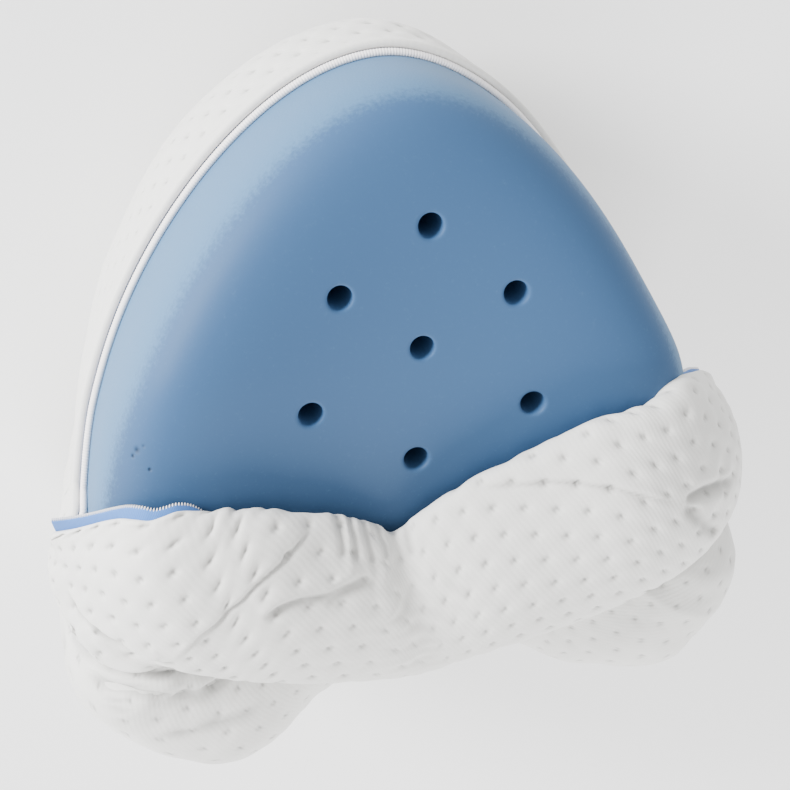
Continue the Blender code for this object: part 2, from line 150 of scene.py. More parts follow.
ROUND, SEAM_ROUND = 0.12, 0.80
ZIP_CALM = 0.35
SETTLES = 5
BACK_TAPE = (-0.553, 0.440)
SECTION_LENGTH = 2 * (HALF_WIDTH + HALF_THICK)

# Pulls on the front panel: place along and across it, reach along and across it, and how far in x y z, mm.
PULLS = np.array((
    (0.178, 1.00, 0.045, 0.30, 0.0, -5.0, 2.2),
    (0.285, 0.95, 0.035, 0.20, 0.0, 3.8, -1.7),
    (0.890, 0.95, 0.040, 0.30, -0.5, 4.6, -2.0),
    (0.985, 1.00, 0.050, 0.45, -1.0, 3.0, -1.4)))

# Creases of the front panel: name, depth, width, lift of the cloth on its left and reach of that lift, in mm,
# then the line that it follows, as shares along the panel and across it from its seam.
PANEL_CREASES = (
    ("pulled from the left foot to the notch", 1.0, 0.85, 0.8, 12,
     ((0.205, 0.280), (0.241, 0.516), (0.277, 0.635), (0.311, 0.659), (0.345, 0.690), (0.372, 0.746),
      (0.392, 0.785))),
    ("across the right side", 0.8, 0.9, 0.8, 10,
     ((0.671, 0.754), (0.707, 0.706), (0.735, 0.683), (0.768, 0.635), (0.802, 0.595), (0.841, 0.563))),
    ("over the right end's knot", 2.4, 2.4, 0.8, 8,
     ((0.843, 0.565), (0.863, 0.580), (0.884, 0.571), (0.912, 0.520))),
    ("under the right end's knot", 1.8, 2.2, 0.6, 8,
     ((0.841, 0.556), (0.857, 0.476), (0.872, 0.405), (0.890, 0.340))),
    ("pocket", 1.3, 1.8, 1.5, 9,
     ((0.320, 0.563), (0.338, 0.579), (0.363, 0.603), (0.393, 0.611), (0.460, 0.659))),
    ("below the pocket", 0.8, 1.8, 0.6, 6,
     ((0.385, 0.585), (0.420, 0.616), (0.459, 0.640))),
    ("first gather of the notch", 1.0, 1.4, 0.4, 4, ((0.424, 0.830), (0.424, 0.762), (0.421, 0.700))),
    ("second gather of the notch", 1.1, 1.4, 0.4, 4, ((0.442, 0.830), (0.439, 0.754), (0.436, 0.690))),
    ("third gather of the notch", 1.0, 1.4, 0.4, 4, ((0.461, 0.830), (0.460, 0.754), (0.460, 0.690))),
    ("fourth gather of the notch", 0.8, 1.4, 0.3, 4, ((0.485, 0.830), (0.491, 0.770), (0.488, 0.714))),
    ("right gather of the notch", 0.8, 1.6, 0.3, 4, ((0.576, 0.830), (0.570, 0.770), (0.567, 0.720))),
    ("where the left end laps the foot", 2.0, 1.3, 1.8, 7,
     ((0.070, 0.300), (0.113, 0.254), (0.140, 0.222), (0.177, 0.238), (0.210, 0.300))),
)

# Creases of the back panel, with the same columns. Their lines go by the outline and the section.
BACK_CREASES = (
    ("left foot, deep", 3.4, 1.9, 3.4, 8,
     ((-0.672, 0.352), (-0.680, 0.338), (-0.689, 0.317), (-0.703, 0.304), (-0.725, 0.292),
      (-0.746, 0.282), (-0.764, 0.270))),
    ("left foot, below the panel", 2.4, 1.7, 2.6, 6,
     ((-0.658, 0.362), (-0.665, 0.345), (-0.676, 0.314), (-0.701, 0.284), (-0.737, 0.270), (-0.790, 0.272))),
    ("left foot, upright", 1.4, 1.5, 0.0, 1,
     ((-0.658, 0.341), (-0.664, 0.339), (-0.680, 0.335), (-0.705, 0.329))),
    ("left foot, low", 1.2, 1.7, 1.2, 9,
     ((-0.728, 0.326), (-0.739, 0.321), (-0.757, 0.309), (-0.782, 0.301), (-0.815, 0.296))),
    ("left foot, gathered outwards", 1.1, 1.6, 0.4, 5, ((-0.640, 0.392), (-0.654, 0.384), (-0.661, 0.346))),
    ("left foot, gathered upwards", 1.0, 1.6, 0.4, 5, ((-0.652, 0.400), (-0.660, 0.376), (-0.664, 0.345))),
    ("left foot, outer wall", 1.2, 3.0, 0.0, 1, ((-0.660, 0.400), (-0.700, 0.440), (-0.735, 0.470))),
    ("right foot, under the knot", 1.2, 2.4, 0.0, 1, ((0.560, 0.330), (0.600, 0.300), (0.650, 0.270))),
    ("right foot, outer wall", 0.9, 3.5, 0.0, 1, ((0.540, 0.420), (0.590, 0.450), (0.640, 0.500))),
)

# Puckered parts of the front panel: middle along and across, reach, depth, and size of the puckers in x and
# in y or z, in mm.
PUCKERS = (
    (0.500, 0.600, 30, 1.10, 12, 4),
    (0.455, 0.720, 14, 0.70, 4, 9),
    (0.590, 0.540, 26, 0.80, 12, 5),
    (0.885, 0.520, 16, 1.10, 8, 8),
    (0.120, 0.250, 14, 0.80, 9, 5),
)

# Swells of the cloth: height, size along and across in mm, and seed
BACK_LOOSE = (0.9, 26, 17, 3.0)
BACK_SWELL = (0.35, 40, 22, 9.0)
PANEL_SWELL = (0.8, 34, 20, 2.0)
EDGE_SCALLOPS = (0.8, 9, 40, 12.0)


# Surfaces

def smooth(t, low, high):
    """Smooth step from 0 at low to 1 at high."""
    t = np.clip((t - low) / (high - low), 0, 1)
    return t * t * (3 - 2 * t)


def between(t, rise, fall):
    """1 between two places, with a smooth rise and a smooth fall over two ranges."""
    return smooth(t, *rise) * (1 - smooth(t, *fall))


def evenly(points, count):
    """count + 1 points at equal steps of length along a polyline."""
    points = np.asarray(points, dtype=float)
    length = np.concatenate(([0], np.cumsum(np.linalg.norm(np.diff(points, axis=0), axis=1))))
    want = np.linspace(0, length[-1], count + 1)
    return np.stack([np.interp(want, length, column) for column in points.T], axis=1)


def half_outline():
    """Right half of the foam's plan outline, from the narrow end to the arch's middle."""
    t = 1 - np.linspace(0, 1, 2001) ** 2
    x = HALF_WIDTH * np.cos(np.pi * t / 2) ** EGG_POWER
    egg = np.stack((x, WIDEST_Y + (TIP_Y - WIDEST_Y) * t), axis=1)
    a = np.linspace(0, np.pi / 2, 1001)[1:]
    x = FOOT_X + (HALF_WIDTH - FOOT_X) * np.abs(np.cos(a)) ** (2 / CORNER_POWER)
    corner = np.stack((x, WIDEST_Y + (FOOT_Y - WIDEST_Y) * np.sin(a) ** (2 / CORNER_POWER)), axis=1)
    x = FOOT_X * (1 - np.linspace(0, 1, 1001)[1:])
    arch = np.stack((x, FOOT_Y + (ARCH_Y - FOOT_Y) * (1 + np.cos(np.pi * x / FOOT_X)) / 2), axis=1)
    return np.concatenate((egg, corner, arch))


def wall_section():
    """Shrink and rise of the foam's surface, from the front face's middle to the back face's middle."""
    a = np.linspace(0, np.pi, 6001)
    shrink = np.abs(np.sin(a)) ** (2 / EDGE_POWER)
    shrink[[0, -1]] = 0
    rise = np.sign(np.cos(a)) * np.abs(np.cos(a)) ** (2 / EDGE_POWER)
    line = evenly(np.stack((HALF_WIDTH * shrink, HALF_THICK * rise), axis=1), 4000)
    return line / (HALF_WIDTH, HALF_THICK)


OUTLINE = evenly(half_outline(), 4000)
SECTION = wall_section()
SHARES = np.linspace(0, 1, 4001)
OUTLINE_ANGLE = np.arctan2(OUTLINE[:, 0], OUTLINE[:, 1])
OUTLINE_RADIUS = np.linalg.norm(OUTLINE, axis=1)


def outline_share(x, y):
    """Distance from the foam's axis, as a share of the outline's distance on the same side."""
    return np.hypot(x, y) / np.interp(np.abs(np.arctan2(x, y)), OUTLINE_ANGLE, OUTLINE_RADIUS)


def half_thickness(x, y):
    return HALF_THICK + DISH * (x / DISH_X) ** 2 - BOW * ((y - BOW_MIDDLE_Y) / BOW_Y) ** 2


NORMAL_STEP = 0.004            # step on the surface that gives its outward direction
BACK_MIDDLE = 0.995            # from here on along the section, outwards is straight down


def bare_skin(q, v):
    q = (np.asarray(q, dtype=float) + 1) % 2 - 1
    x = np.interp(np.abs(q), SHARES, OUTLINE[:, 0])
    y = np.interp(np.abs(q), SHARES, OUTLINE[:, 1])
    shrink = np.interp(v, SHARES, SECTION[:, 0])
    rise = np.interp(v, SHARES, SECTION[:, 1])
    x, y = x * shrink * np.where(q < 0, -1, 1), y * shrink
    return np.stack((x, y, MIDDLE_Z + rise * half_thickness(x, y)), axis=-1)


def unit(vectors):
    return vectors / np.maximum(np.linalg.norm(vectors, axis=-1, keepdims=True), 1e-12)


def skin(q, v, off):
    """Points of the foam's surface, moved out by off. q is the place on the outline, v on the section."""
    q, v, off = np.broadcast_arrays(np.asarray(q, float), np.asarray(v, float), np.asarray(off, float))
    along = bare_skin(q + NORMAL_STEP, v) - bare_skin(q - NORMAL_STEP, v)
    across = bare_skin(q, v + NORMAL_STEP) - bare_skin(q, v - NORMAL_STEP)
    out = unit(np.cross(along, across))
    out[v > BACK_MIDDLE] = (0, 0, -1)
    return bare_skin(q, v) + off[..., None] * out


def back_fit(q):
    """Room at the back panel's edge, above and below the zip line, and the edge's place, at q."""
    q = (np.asarray(q, float) + 1) % 2 - 1
    place = np.abs(q)
    result = []
    for table in (BACK_LEFT, BACK_RIGHT):
        i = np.clip(np.searchsorted(table[:, 0], place, side="left"), 1, len(table) - 1)
        low, high = table[i - 1], table[i]
        t = smooth(place, low[..., 0], high[..., 0])[..., None]
        result.append(low[..., 1:] + (high[..., 1:] - low[..., 1:]) * t)
    fit = np.where((q < 0)[..., None], result[0], result[1])
    return EDGE_ROOM + fit[..., 0] * MM, AIR + fit[..., 1] * MM, AIR + fit[..., 2] * MM, fit[..., 3]


def back_room(q, v):
    """Distance from the foam to the inside of the back panel."""
    at_edge, above, below, edge = back_fit(q)
    start = np.maximum(edge + 0.02, 0.25)
    room = at_edge + (above - at_edge) * smooth(v, start, start + EDGE_FOLLOWS)
    room = room + (below - room) * smooth(v, *ZIP_LINE)
    room = room + (AIR - room) * smooth(v, *UNDERSIDE)
    at_tape = smooth(v, edge + TAPE_DEEP, edge + 2 * TAPE_DEEP)
    return np.maximum(room, EDGE_ROOM + (AIR - EDGE_ROOM) * at_tape)


def spline(rows, t):
    """Value on a smooth curve through the rows of a table, at t from 0 to 1."""
    rows = np.asarray(rows, float)
    place = np.clip(np.asarray(t, float), 0, 1) * (len(rows) - 1)
    i = np.minimum(place.astype(int), len(rows) - 2)
    t = (place - i)[..., None]
    p, q = rows[np.maximum(i - 1, 0)], rows[i]
    r, s = rows[i + 1], rows[np.minimum(i + 2, len(rows) - 1)]
    return (2 * q + (r - p) * t + (2 * p - 5 * q + 4 * r - s) * t ** 2 + (3 * q - p - 3 * r + s) * t ** 3) / 2


def finer(grid, times, axis):
    """Grid with times as many steps along one axis, on a smooth surface through its points."""
    grid = np.moveaxis(grid, axis, 0)
    count = (len(grid) - 1) * times + 1
    flat = spline(grid.reshape(len(grid), -1), np.linspace(0, 1, count))
    return np.moveaxis(flat.reshape(count, *grid.shape[1:]), 0, axis)


def hull():
    """Surface that the middle of the front panel stays outside of."""
    q = (-1 + 2 * (np.arange(HULL_STATIONS) + 0.5) / HULL_STATIONS)[:, None]
    v = FIRST_V + (LAST_V - FIRST_V) * np.linspace(0, 1, HULL_ROWS + 1)[None]
    edge = back_fit(q)[3]
    on_back = smooth(v, edge - LAP - LAP_SLOPE, edge - LAP)
    points = skin(q, v, SLACK + CLOTH / 2 + (back_room(q, v) + CLOTH) * on_back)
    width = HULL_ROWS + 1
    faces = []
    for i in range(HULL_STATIONS):
        here, there = i * width, (i + 1) % HULL_STATIONS * width
        faces += [(here + j, there + j, there + j + 1, here + j + 1) for j in range(HULL_ROWS)]
    return BVHTree.FromPolygons(points.reshape(-1, 3).tolist(), faces)


def panel_line(t, clear):
    """The front panel's middle surface at t along it, from its seam to its zip edge."""
    row = spline(FRONT_PANEL, t)
    top, low = Vector(row[1:4]) * MM, Vector(row[4:7]) * MM
    crown, low_turn, top_turn, tuck = row[7:11] * MM
    fold = math.radians(min(180, max(1, row[11])))
    edge = back_fit(row[0])[3]
    seam, behind = (Vector(skin(row[0], v, back_room(row[0], v) + AIR + CLOTH * 1.5))
                    for v in (edge + SEAM_LAP, edge + 0.035))
    up = (top - low).normalized()
    out = Vector((low.x + top.x, 0, low.z + top.z)) / 2 - Vector((0, 0, MIDDLE_Z - 30 * MM))
    out.x *= 0.2 + 0.7 * float(smooth(abs(out.x), 80 * MM, 105 * MM))
    out = (out - up * out.dot(up)).normalized()
    bend = max(top_turn / 2 * fold, tuck / 2)
    radius = bend / fold
    start = top - up * radius * 1.5 * math.sin(min(fold, math.pi / 2))
    long = (start - low).length
    turned = [start + up * radius * math.sin(a) - out * radius * (1 - math.cos(a))
              for a in (fold / 3, fold * 2 / 3, fold)]
    inward = up * math.cos(fold) - out * math.sin(fold)
    knots = [
        seam,
        seam.lerp(behind, low_turn / LOW_TURN_MOST).lerp(low - out * low_turn, 0.5),
        low,
        low + up * (0.22 * long) + out * (0.70 * crown),
        low + up * (0.50 * long) + out * crown,
        low + up * (0.78 * long) + out * (0.74 * crown),
        start,
        *turned,
        turned[-1] + inward * max(tuck - bend, END_LEAST),
    ]
    count = (len(knots) - 1) * SPLINE_STEPS + 1
    line = evenly(spline([tuple(knot) for knot in knots], np.linspace(0, 1, count)), PANEL_STEPS)
    near = int(np.argmin(np.linalg.norm(line - np.array(low), axis=1)))
    j = np.arange(PANEL_STEPS + 1)
    layer = LAYER * smooth(j, near - 1, near + 1) * (1 - smooth(j, near + 4, near + 8))
    layer = layer * smooth(low_turn, LAYER_FROM, LOW_TURN_MOST)
    end = TAPE_PROUD * math.sin(fold) * np.maximum(0, j - PANEL_STEPS + END_STEPS) / END_STEPS
    return [clear(Vector(p), spare) for p, spare in zip(line, layer + end)]


def panel_grid():
    """The front panel's middle surface: stations along it, points across it."""
    surface = hull()

    def clear(point, spare=0.0):
        place, out = surface.find_nearest(point)[:2]
        depth = (point - place).dot(out) - spare
        return point - out * depth if depth < 0 else point

    grid = [panel_line(i / (PANEL_STATIONS - 1), clear) for i in range(PANEL_STATIONS)]
    for _ in range(SETTLES):
        calm = []
        for i, line in enumerate(grid):
            before, after = grid[max(i - 1, 0)], grid[min(i + 1, len(grid) - 1)]
            from_end = min(i, len(grid) - 1 - i)
            row = [clear(line[0])]
            for j in range(1, len(line)):
                p = line[j]
                if from_end:
                    at_zip = ZIP_CALM * float(smooth(j, PANEL_STEPS - SEAM_STEPS, PANEL_STEPS))
                    p = p.lerp((before[j] + after[j]) / 2,
                               0.7 * max(at_zip, 1 - from_end / END_STATIONS, 1 - j / SEAM_STEPS))
                if j < len(line) - 1:
                    at_seam = SEAM_ROUND * (1 - j / SEAM_STEPS)
                    p = p.lerp((line[j - 1] + line[j + 1]) / 2, max(ROUND, at_seam))
                row.append(clear(p))
            calm.append([Vector(p) for p in evenly([tuple(p) for p in row], PANEL_STEPS)])
        grid = calm
    grid = np.array([[tuple(clear(p)) for p in line] for line in grid])
    along = np.linspace(0, 1, PANEL_STATIONS)[:, None]
    across = np.linspace(0, 1, PANEL_STEPS + 1)[None, :]
    for t, s, reach_t, reach_s, *pull in PULLS:
        share = np.exp(-((along - t) / reach_t) ** 2 - ((across - s) / reach_s) ** 2)
        grid = grid + share[..., None] * np.array(pull) * MM
    return grid


# Folds

DEEP_FOLD = 1.6                # depth of a crease, in mm, from which little light reaches its bottom and its painted shade is full
CREASE_END = 0.18              # share of a crease, at each end, over which it fades out


def crease_height(points, lines, creases):
    """Rise and fall of the cloth, and the shade painted into it, at each point of a grid, by creases along
    lines.
    """
    normals = grid_normals(points).reshape(-1, 3)
    flat = points.reshape(-1, 3)
    height = np.zeros(len(flat))
    shade = np.zeros(len(flat))
    for (_, depth, width, lift, reach, _), line in zip(creases, lines):
        best = np.full(len(flat), np.inf)
        side = np.zeros(len(flat))
        share = np.zeros(len(flat))
        for k, (a, b) in enumerate(zip(line, line[1:])):
            along = b - a
            t = np.clip((flat - a) @ along / (along @ along), 0, 1)
            away = flat - a - t[:, None] * along
            distance = np.linalg.norm(away, axis=1)
            left = np.einsum("ij,ij->i", np.cross(np.broadcast_to(along, away.shape), away), normals)
            nearer = distance < best
            best = np.where(nearer, distance, best)
            side = np.where(nearer, np.sign(left), side)
            share = np.where(nearer, (k + t) / (len(line) - 1), share)
        ends = between(share, (0, CREASE_END), (1 - CREASE_END, 1))
        near = best / MM
        valley = np.exp(-(near / width) ** 2) * ends
        height -= depth * MM * valley
        shade = np.maximum(shade, min(1, depth / DEEP_FOLD) * valley)
        if lift:
            puff = near / reach
            height += lift * MM * (side > 0) * np.minimum(1, near / width) * np.exp(-puff ** 2) * ends
    return height.reshape(points.shape[:2]), shade.reshape(points.shape[:2])


def dense(line, count=10):
    """A crease's line with more points."""
    return spline(line, np.linspace(0, 1, (len(line) - 1) * count + 1))


def grid_normals(grid, closed=False):
    """Direction of each point's outer side."""
    if closed:
        along = np.roll(grid, -1, axis=0) - np.roll(grid, 1, axis=0)
    else:
        along = np.gradient(grid, axis=0)
    return unit(np.cross(along, np.gradient(grid, axis=1)))


def sample(grid, places):
    """Points of a grid at shares along and across it."""
    i, j = places[:, 0] * (grid.shape[0] - 1), places[:, 1] * (grid.shape[1] - 1)
    a, b = np.minimum(i.astype(int), grid.shape[0] - 2), np.minimum(j.astype(int), grid.shape[1] - 2)
    s, t = (i - a)[:, None], (j - b)[:, None]
    return ((grid[a, b] * (1 - s) + grid[a + 1, b] * s) * (1 - t)
            + (grid[a, b + 1] * (1 - s) + grid[a + 1, b + 1] * s) * t)


def arc_lengths(grid, axis, start=0):
    """Length along one axis of a grid, from the start index."""
    steps = np.linalg.norm(np.diff(grid, axis=axis), axis=-1)
    nothing = np.zeros_like(np.take(steps, [0], axis))
    total = np.concatenate((nothing, np.cumsum(steps, axis=axis)), axis=axis)
    return total - np.take(total, [start], axis)


def swell(u, v, height, size_u, size_v, seed):
    """Soft rise and fall of a height in mm over two coordinates in metres, with bumps of a size in mm."""
    a, b = (u / (size_u * MM)).ravel(), (v / (size_v * MM)).ravel()
    values = [noise.noise((p, q, seed)) for p, q in zip(a.tolist(), b.tolist())]
    return height * MM * np.array(values).reshape(u.shape)


# Meshes

def new_object(name, points, faces, uv=None):
    """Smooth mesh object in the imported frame, with cloth coordinates in metres as its UV map."""
    mesh = bpy.data.meshes.new(name)
    mesh.from_pydata((np.asarray(points) - ORIGIN).tolist(), [], faces)
    mesh.validate()
    mesh.shade_smooth()
    if uv is not None:
        layer = mesh.uv_layers.new(name="Cloth")
        corners = np.zeros(len(mesh.loops), dtype=np.int32)
        mesh.loops.foreach_get("vertex_index", corners)
        layer.data.foreach_set("uv", np.asarray(uv, dtype=np.float32)[corners].ravel())
    body = bpy.data.objects.new(name, mesh)
    bpy.context.scene.collection.objects.link(body)
    return body


def tidy(body):
    """Drops loose points and turns every face outwards."""
    bm = bmesh.new()
    bm.from_mesh(body.data)
    bmesh.ops.delete(bm, geom=[p for p in bm.verts if not p.link_faces], context="VERTS")
    bmesh.ops.recalc_face_normals(bm, faces=bm.faces[:])
    bm.to_mesh(body.data)
    bm.free()
    body.data.shade_smooth()


def point_values(body, name, values):
    """Gives a piece's first points a value each, and the rest 0."""
    every = np.zeros(len(body.data.vertices), dtype=np.float32)
    every[:values.size] = values.ravel()
    layer = body.data.attributes.new(name, "FLOAT", "POINT")
    layer.data.foreach_set("value", every)


def quads(index, after):
    """Faces between the rows of one index grid and those of the next."""
    faces = np.stack((index[:, :-1], index[:, 1:], after[:, 1:], after[:, :-1]), axis=-1)
    return faces.reshape(-1, 4).tolist()


def ring_faces(rings):
    """Faces between closed rings of indices."""
    faces = []
    for one, two in zip(rings, rings[1:]):
        faces += np.stack((one, np.roll(one, -1), np.roll(two, -1), two), axis=-1).tolist()
    return faces


RIM_ANGLES = (45, 90, 135)


def rounded_rim(middle, up, out, radius, first, start):
    """Points round a cloth's edge, from its outer to its inner side, and the rings of their indices."""
    out = unit(out - up * np.einsum("ij,ij->i", out, up)[:, None])
    points = []
    rings = [first]
    for angle in RIM_ANGLES:
        a = math.radians(angle)
        points.append(middle + (up * math.cos(a) + out * math.sin(a)) * radius)
        rings.append(np.arange(start, start + len(first)))
        start += len(first)
    return points, rings


def closed_sheet(name, grid, height, thick, uv):
    """Sheet of a thickness about a grid, its outer side raised by height, its edge rounded."""
    across, down = grid.shape[:2]
    normals = grid_normals(grid)
    outer = grid + normals * (height + thick / 2)[..., None]
    inner = grid + normals * (height / 2 - thick / 2)[..., None]
    index = np.arange(across * down).reshape(across, down)
    inside = index + index.size
    edge = [(i, 0) for i in range(across)] + [(across - 1, j) for j in range(1, down)]
    edge += [(i, down - 1) for i in range(across - 2, -1, -1)] + [(0, j) for j in range(down - 2, 0, -1)]
    i, j = np.array(edge).T
    through = outer[i, j] - inner[i, j]
    out = grid[i, j] - grid[np.clip(i, 1, across - 2), np.clip(j, 1, down - 2)]
    radius = np.linalg.norm(through, axis=1)[:, None] / 2
    middle = inner[i, j] + through / 2
    rim, rings = rounded_rim(middle, unit(through), out, radius, index[i, j], 2 * index.size)
    rings.append(inside[i, j])
    faces = quads(index[:-1], index[1:]) + quads(inside[:-1], inside[1:]) + ring_faces(rings)
    uv = uv.reshape(-1, 2)
    uv = np.concatenate([uv, uv] + [uv[index[i, j]]] * len(RIM_ANGLES))
    body = new_object(name, np.concatenate([outer.reshape(-1, 3), inner.reshape(-1, 3)] + rim), faces, uv)
    tidy(body)
    return body


# Node trees

def node(tree, kind, **values):
    made = tree.nodes.new(kind)
    for key, value in values.items():
        setattr(made, key, value)
    return made


def math_node(tree, operation, *inputs):
    made = node(tree, "ShaderNodeMath", operation=operation)
    for socket, value in zip(made.inputs, inputs):
        if isinstance(value, bpy.types.NodeSocket):
            tree.links.new(value, socket)
        else:
            socket.default_value = value
    return made.outputs[0]


ROW_SHARE = math.sqrt(3) / 2   # rows of the dimple lattice are this share of its pitch apart


def lattice_distance(tree, u, v, pitch):
    """Distance to the nearest dimple of a staggered lattice. u and v are sockets, all in metres."""
    height = math_node(tree, "MULTIPLY", pitch, 2 * ROW_SHARE)
    nearest = []
    for shift in (0.5, 0.0):
        parts = []
        for value, step in ((u, pitch), (v, height)):
            place = math_node(tree, "ADD", math_node(tree, "DIVIDE", value, step), shift)
            off = math_node(tree, "SUBTRACT", math_node(tree, "FRACT", place), 0.5)
            size = math_node(tree, "MULTIPLY", math_node(tree, "ABSOLUTE", off), step)
            parts.append(math_node(tree, "MULTIPLY", size, size))
        nearest.append(math_node(tree, "ADD", *parts))
    return math_node(tree, "SQRT", math_node(tree, "MINIMUM", *nearest))


def bell(tree, distance, radius):
    """1 at distance 0, falling off past the radius."""
    share = math_node(tree, "DIVIDE", distance, radius)
    square = math_node(tree, "MULTIPLY", share, share)
    return math_node(tree, "EXPONENT", math_node(tree, "MULTIPLY", square, -1.0))


def new_tree(name, *inputs):
    """Geometry tree with a geometry going in and out. Each further input is a label, a kind and a default."""
    tree = bpy.data.node_groups.new(name, "GeometryNodeTree")
    for label, kind, default in (("Geometry", "NodeSocketGeometry", None), *inputs,
                                 ("Material", "NodeSocketMaterial", None)):
        socket = tree.interface.new_socket(name=label, in_out="INPUT", socket_type=kind)
        if default is not None:
            socket.default_value = default
    tree.interface.new_socket(name="Geometry", in_out="OUTPUT", socket_type="NodeSocketGeometry")
    return tree, node(tree, "NodeGroupInput").outputs


def named_vector(tree, name):
    """Socket with a vector that the mesh holds for each point."""
    made = node(tree, "GeometryNodeInputNamedAttribute", data_type="FLOAT_VECTOR")
    made.inputs["Name"].default_value = name
    return made.outputs["Attribute"]


def paint_and_end(tree, given, geometry):
    """Sets the Material input on a geometry, which is then the tree's result."""
    paint = node(tree, "GeometryNodeSetMaterial")
    tree.links.new(geometry, paint.inputs["Geometry"])
    tree.links.new(given["Material"], paint.inputs["Material"])
    tree.links.new(paint.outputs[0], node(tree, "NodeGroupOutput").inputs[0])


HOLLOW = 0.30                  # radius of the wide hollow round a dimple, as a share of the pitch


def quilting_tree():
    """Geometry nodes that press a staggered lattice of dimples into the outer side of a cloth."""
    tree, given = new_tree(
        "Quilting",
        ("Pitch", "NodeSocketFloat", 0.0096),
        ("Depth", "NodeSocketFloat", 0.0005),
        ("Dimple radius", "NodeSocketFloat", 0.0015),
        ("Pit depth", "NodeSocketFloat", 0.0005))
    split = node(tree, "ShaderNodeSeparateXYZ")
    tree.links.new(named_vector(tree, "Cloth"), split.inputs[0])
    mask = node(tree, "GeometryNodeInputNamedAttribute", data_type="FLOAT")
    mask.inputs["Name"].default_value = "quilted"
    distance = lattice_distance(tree, split.outputs[0], split.outputs[1], given["Pitch"])
    wide = bell(tree, distance, math_node(tree, "MULTIPLY", given["Pitch"], HOLLOW))
    hollow = math_node(tree, "MULTIPLY", wide, given["Depth"])
    pit = math_node(tree, "MULTIPLY", bell(tree, distance, given["Dimple radius"]), given["Pit depth"])
    sink = math_node(tree, "MULTIPLY", math_node(tree, "ADD", hollow, pit), mask.outputs["Attribute"])
    scale = node(tree, "ShaderNodeVectorMath", operation="SCALE")
    tree.links.new(node(tree, "GeometryNodeInputNormal").outputs[0], scale.inputs[0])
    tree.links.new(math_node(tree, "MULTIPLY", sink, -1.0), scale.inputs["Scale"])
    move = node(tree, "GeometryNodeSetPosition")
    tree.links.new(given["Geometry"], move.inputs["Geometry"])
    tree.links.new(scale.outputs[0], move.inputs["Offset"])
    paint_and_end(tree, given, move.outputs[0])
    return tree


def teeth_tree():
    """Geometry nodes that set zip teeth at even steps along a line, turned to the line's out direction."""
    tree, given = new_tree(
        "Zip teeth",
        ("Pitch", "NodeSocketFloat", 0.0013),
        ("Size", "NodeSocketVector", None))
    path = node(tree, "GeometryNodeMeshToCurve")
    spaced = node(tree, "GeometryNodeResampleCurve", mode="LENGTH")
    turn = node(tree, "FunctionNodeAxesToRotation", primary_axis="Z", secondary_axis="Y")
    tooth = node(tree, "GeometryNodeMeshUVSphere")
    tooth.inputs["Radius"].default_value = 0.5
    tooth.inputs["Segments"].default_value = 8
    tooth.inputs["Rings"].default_value = 5
    spread = node(tree, "GeometryNodeInstanceOnPoints")
    real = node(tree, "GeometryNodeRealizeInstances")
    tree.links.new(given["Geometry"], path.inputs["Mesh"])
    tree.links.new(path.outputs[0], spaced.inputs["Curve"])
    tree.links.new(given["Pitch"], spaced.inputs["Length"])
    tree.links.new(named_vector(tree, "out"), turn.inputs["Primary Axis"])
    tree.links.new(node(tree, "GeometryNodeInputTangent").outputs[0], turn.inputs["Secondary Axis"])
    tree.links.new(spaced.outputs[0], spread.inputs["Points"])
    tree.links.new(turn.outputs[0], spread.inputs["Rotation"])
    tree.links.new(tooth.outputs["Mesh"], spread.inputs["Instance"])
    tree.links.new(given["Size"], spread.inputs["Scale"])
    tree.links.new(spread.outputs[0], real.inputs[0])
    paint_and_end(tree, given, real.outputs[0])
    return tree


def apply_tree(body, tree, **values):
    """Runs a node tree on an object and keeps the result as its plain mesh."""
    modifier = body.modifiers.new(tree.name, "NODES")
    modifier.node_group = tree
    for item in tree.interface.items_tree:
        key = item.name.lower().replace(" ", "_")
        if item.item_type == "SOCKET" and item.in_out == "INPUT" and key in values:
            modifier[item.identifier] = values[key]
    bpy.context.view_layer.update()
    shown = body.evaluated_get(bpy.context.evaluated_depsgraph_get())
    mesh = bpy.data.meshes.new_from_object(shown)
    body.modifiers.remove(modifier)
    body.data = mesh
    mesh.name = body.name
    mesh.shade_smooth()
    return body


# Finishes

def new_material(name, colour, roughness, sheen=0.0):
    material = bpy.data.materials.new(name)
    material.use_nodes = True
    shader = material.node_tree.nodes["Principled BSDF"]
    shader.inputs["Base Color"].default_value = (*colour, 1)
    shader.inputs["Roughness"].default_value = roughness
    shader.inputs["Sheen Weight"].default_value = sheen
    shader.inputs["Sheen Roughness"].default_value = 0.5
    shader.inputs["Specular IOR Level"].default_value = 0.25
    return material, material.node_tree, shader


def bump(tree, height, distance, strength=1.0, under=None):
    made = node(tree, "ShaderNodeBump")
    made.inputs["Distance"].default_value = distance
    made.inputs["Strength"].default_value = strength
    tree.links.new(height, made.inputs["Height"])
    if under is not None:
        tree.links.new(under, made.inputs["Normal"])
    return made.outputs[0]


def mixed(tree, share, one, two):
    """Colour between two, by a share socket. Each colour is a value or a socket."""
    made = node(tree, "ShaderNodeMix", data_type="RGBA")
    tree.links.new(share, made.inputs["Factor"])
    for key, value in (("A", one), ("B", two)):
        socket = [s for s in made.inputs if s.name == key and s.type == "RGBA"][0]
        if isinstance(value, bpy.types.NodeSocket):
            tree.links.new(value, socket)
        else:
            socket.default_value = (*value, 1)
    return [s for s in made.outputs if s.type == "RGBA"][0]


def split_axes(tree, vector):
    made = node(tree, "ShaderNodeSeparateXYZ")
    tree.links.new(vector, made.inputs[0])
    return made.outputs


def noise_texture(tree, vector, scale, detail, roughness=0.5):
    made = node(tree, "ShaderNodeTexNoise")
    made.inputs["Scale"].default_value = scale
    made.inputs["Detail"].default_value = detail
    made.inputs["Roughness"].default_value = roughness
    tree.links.new(vector, made.inputs["Vector"])
    return made.outputs["Fac"]


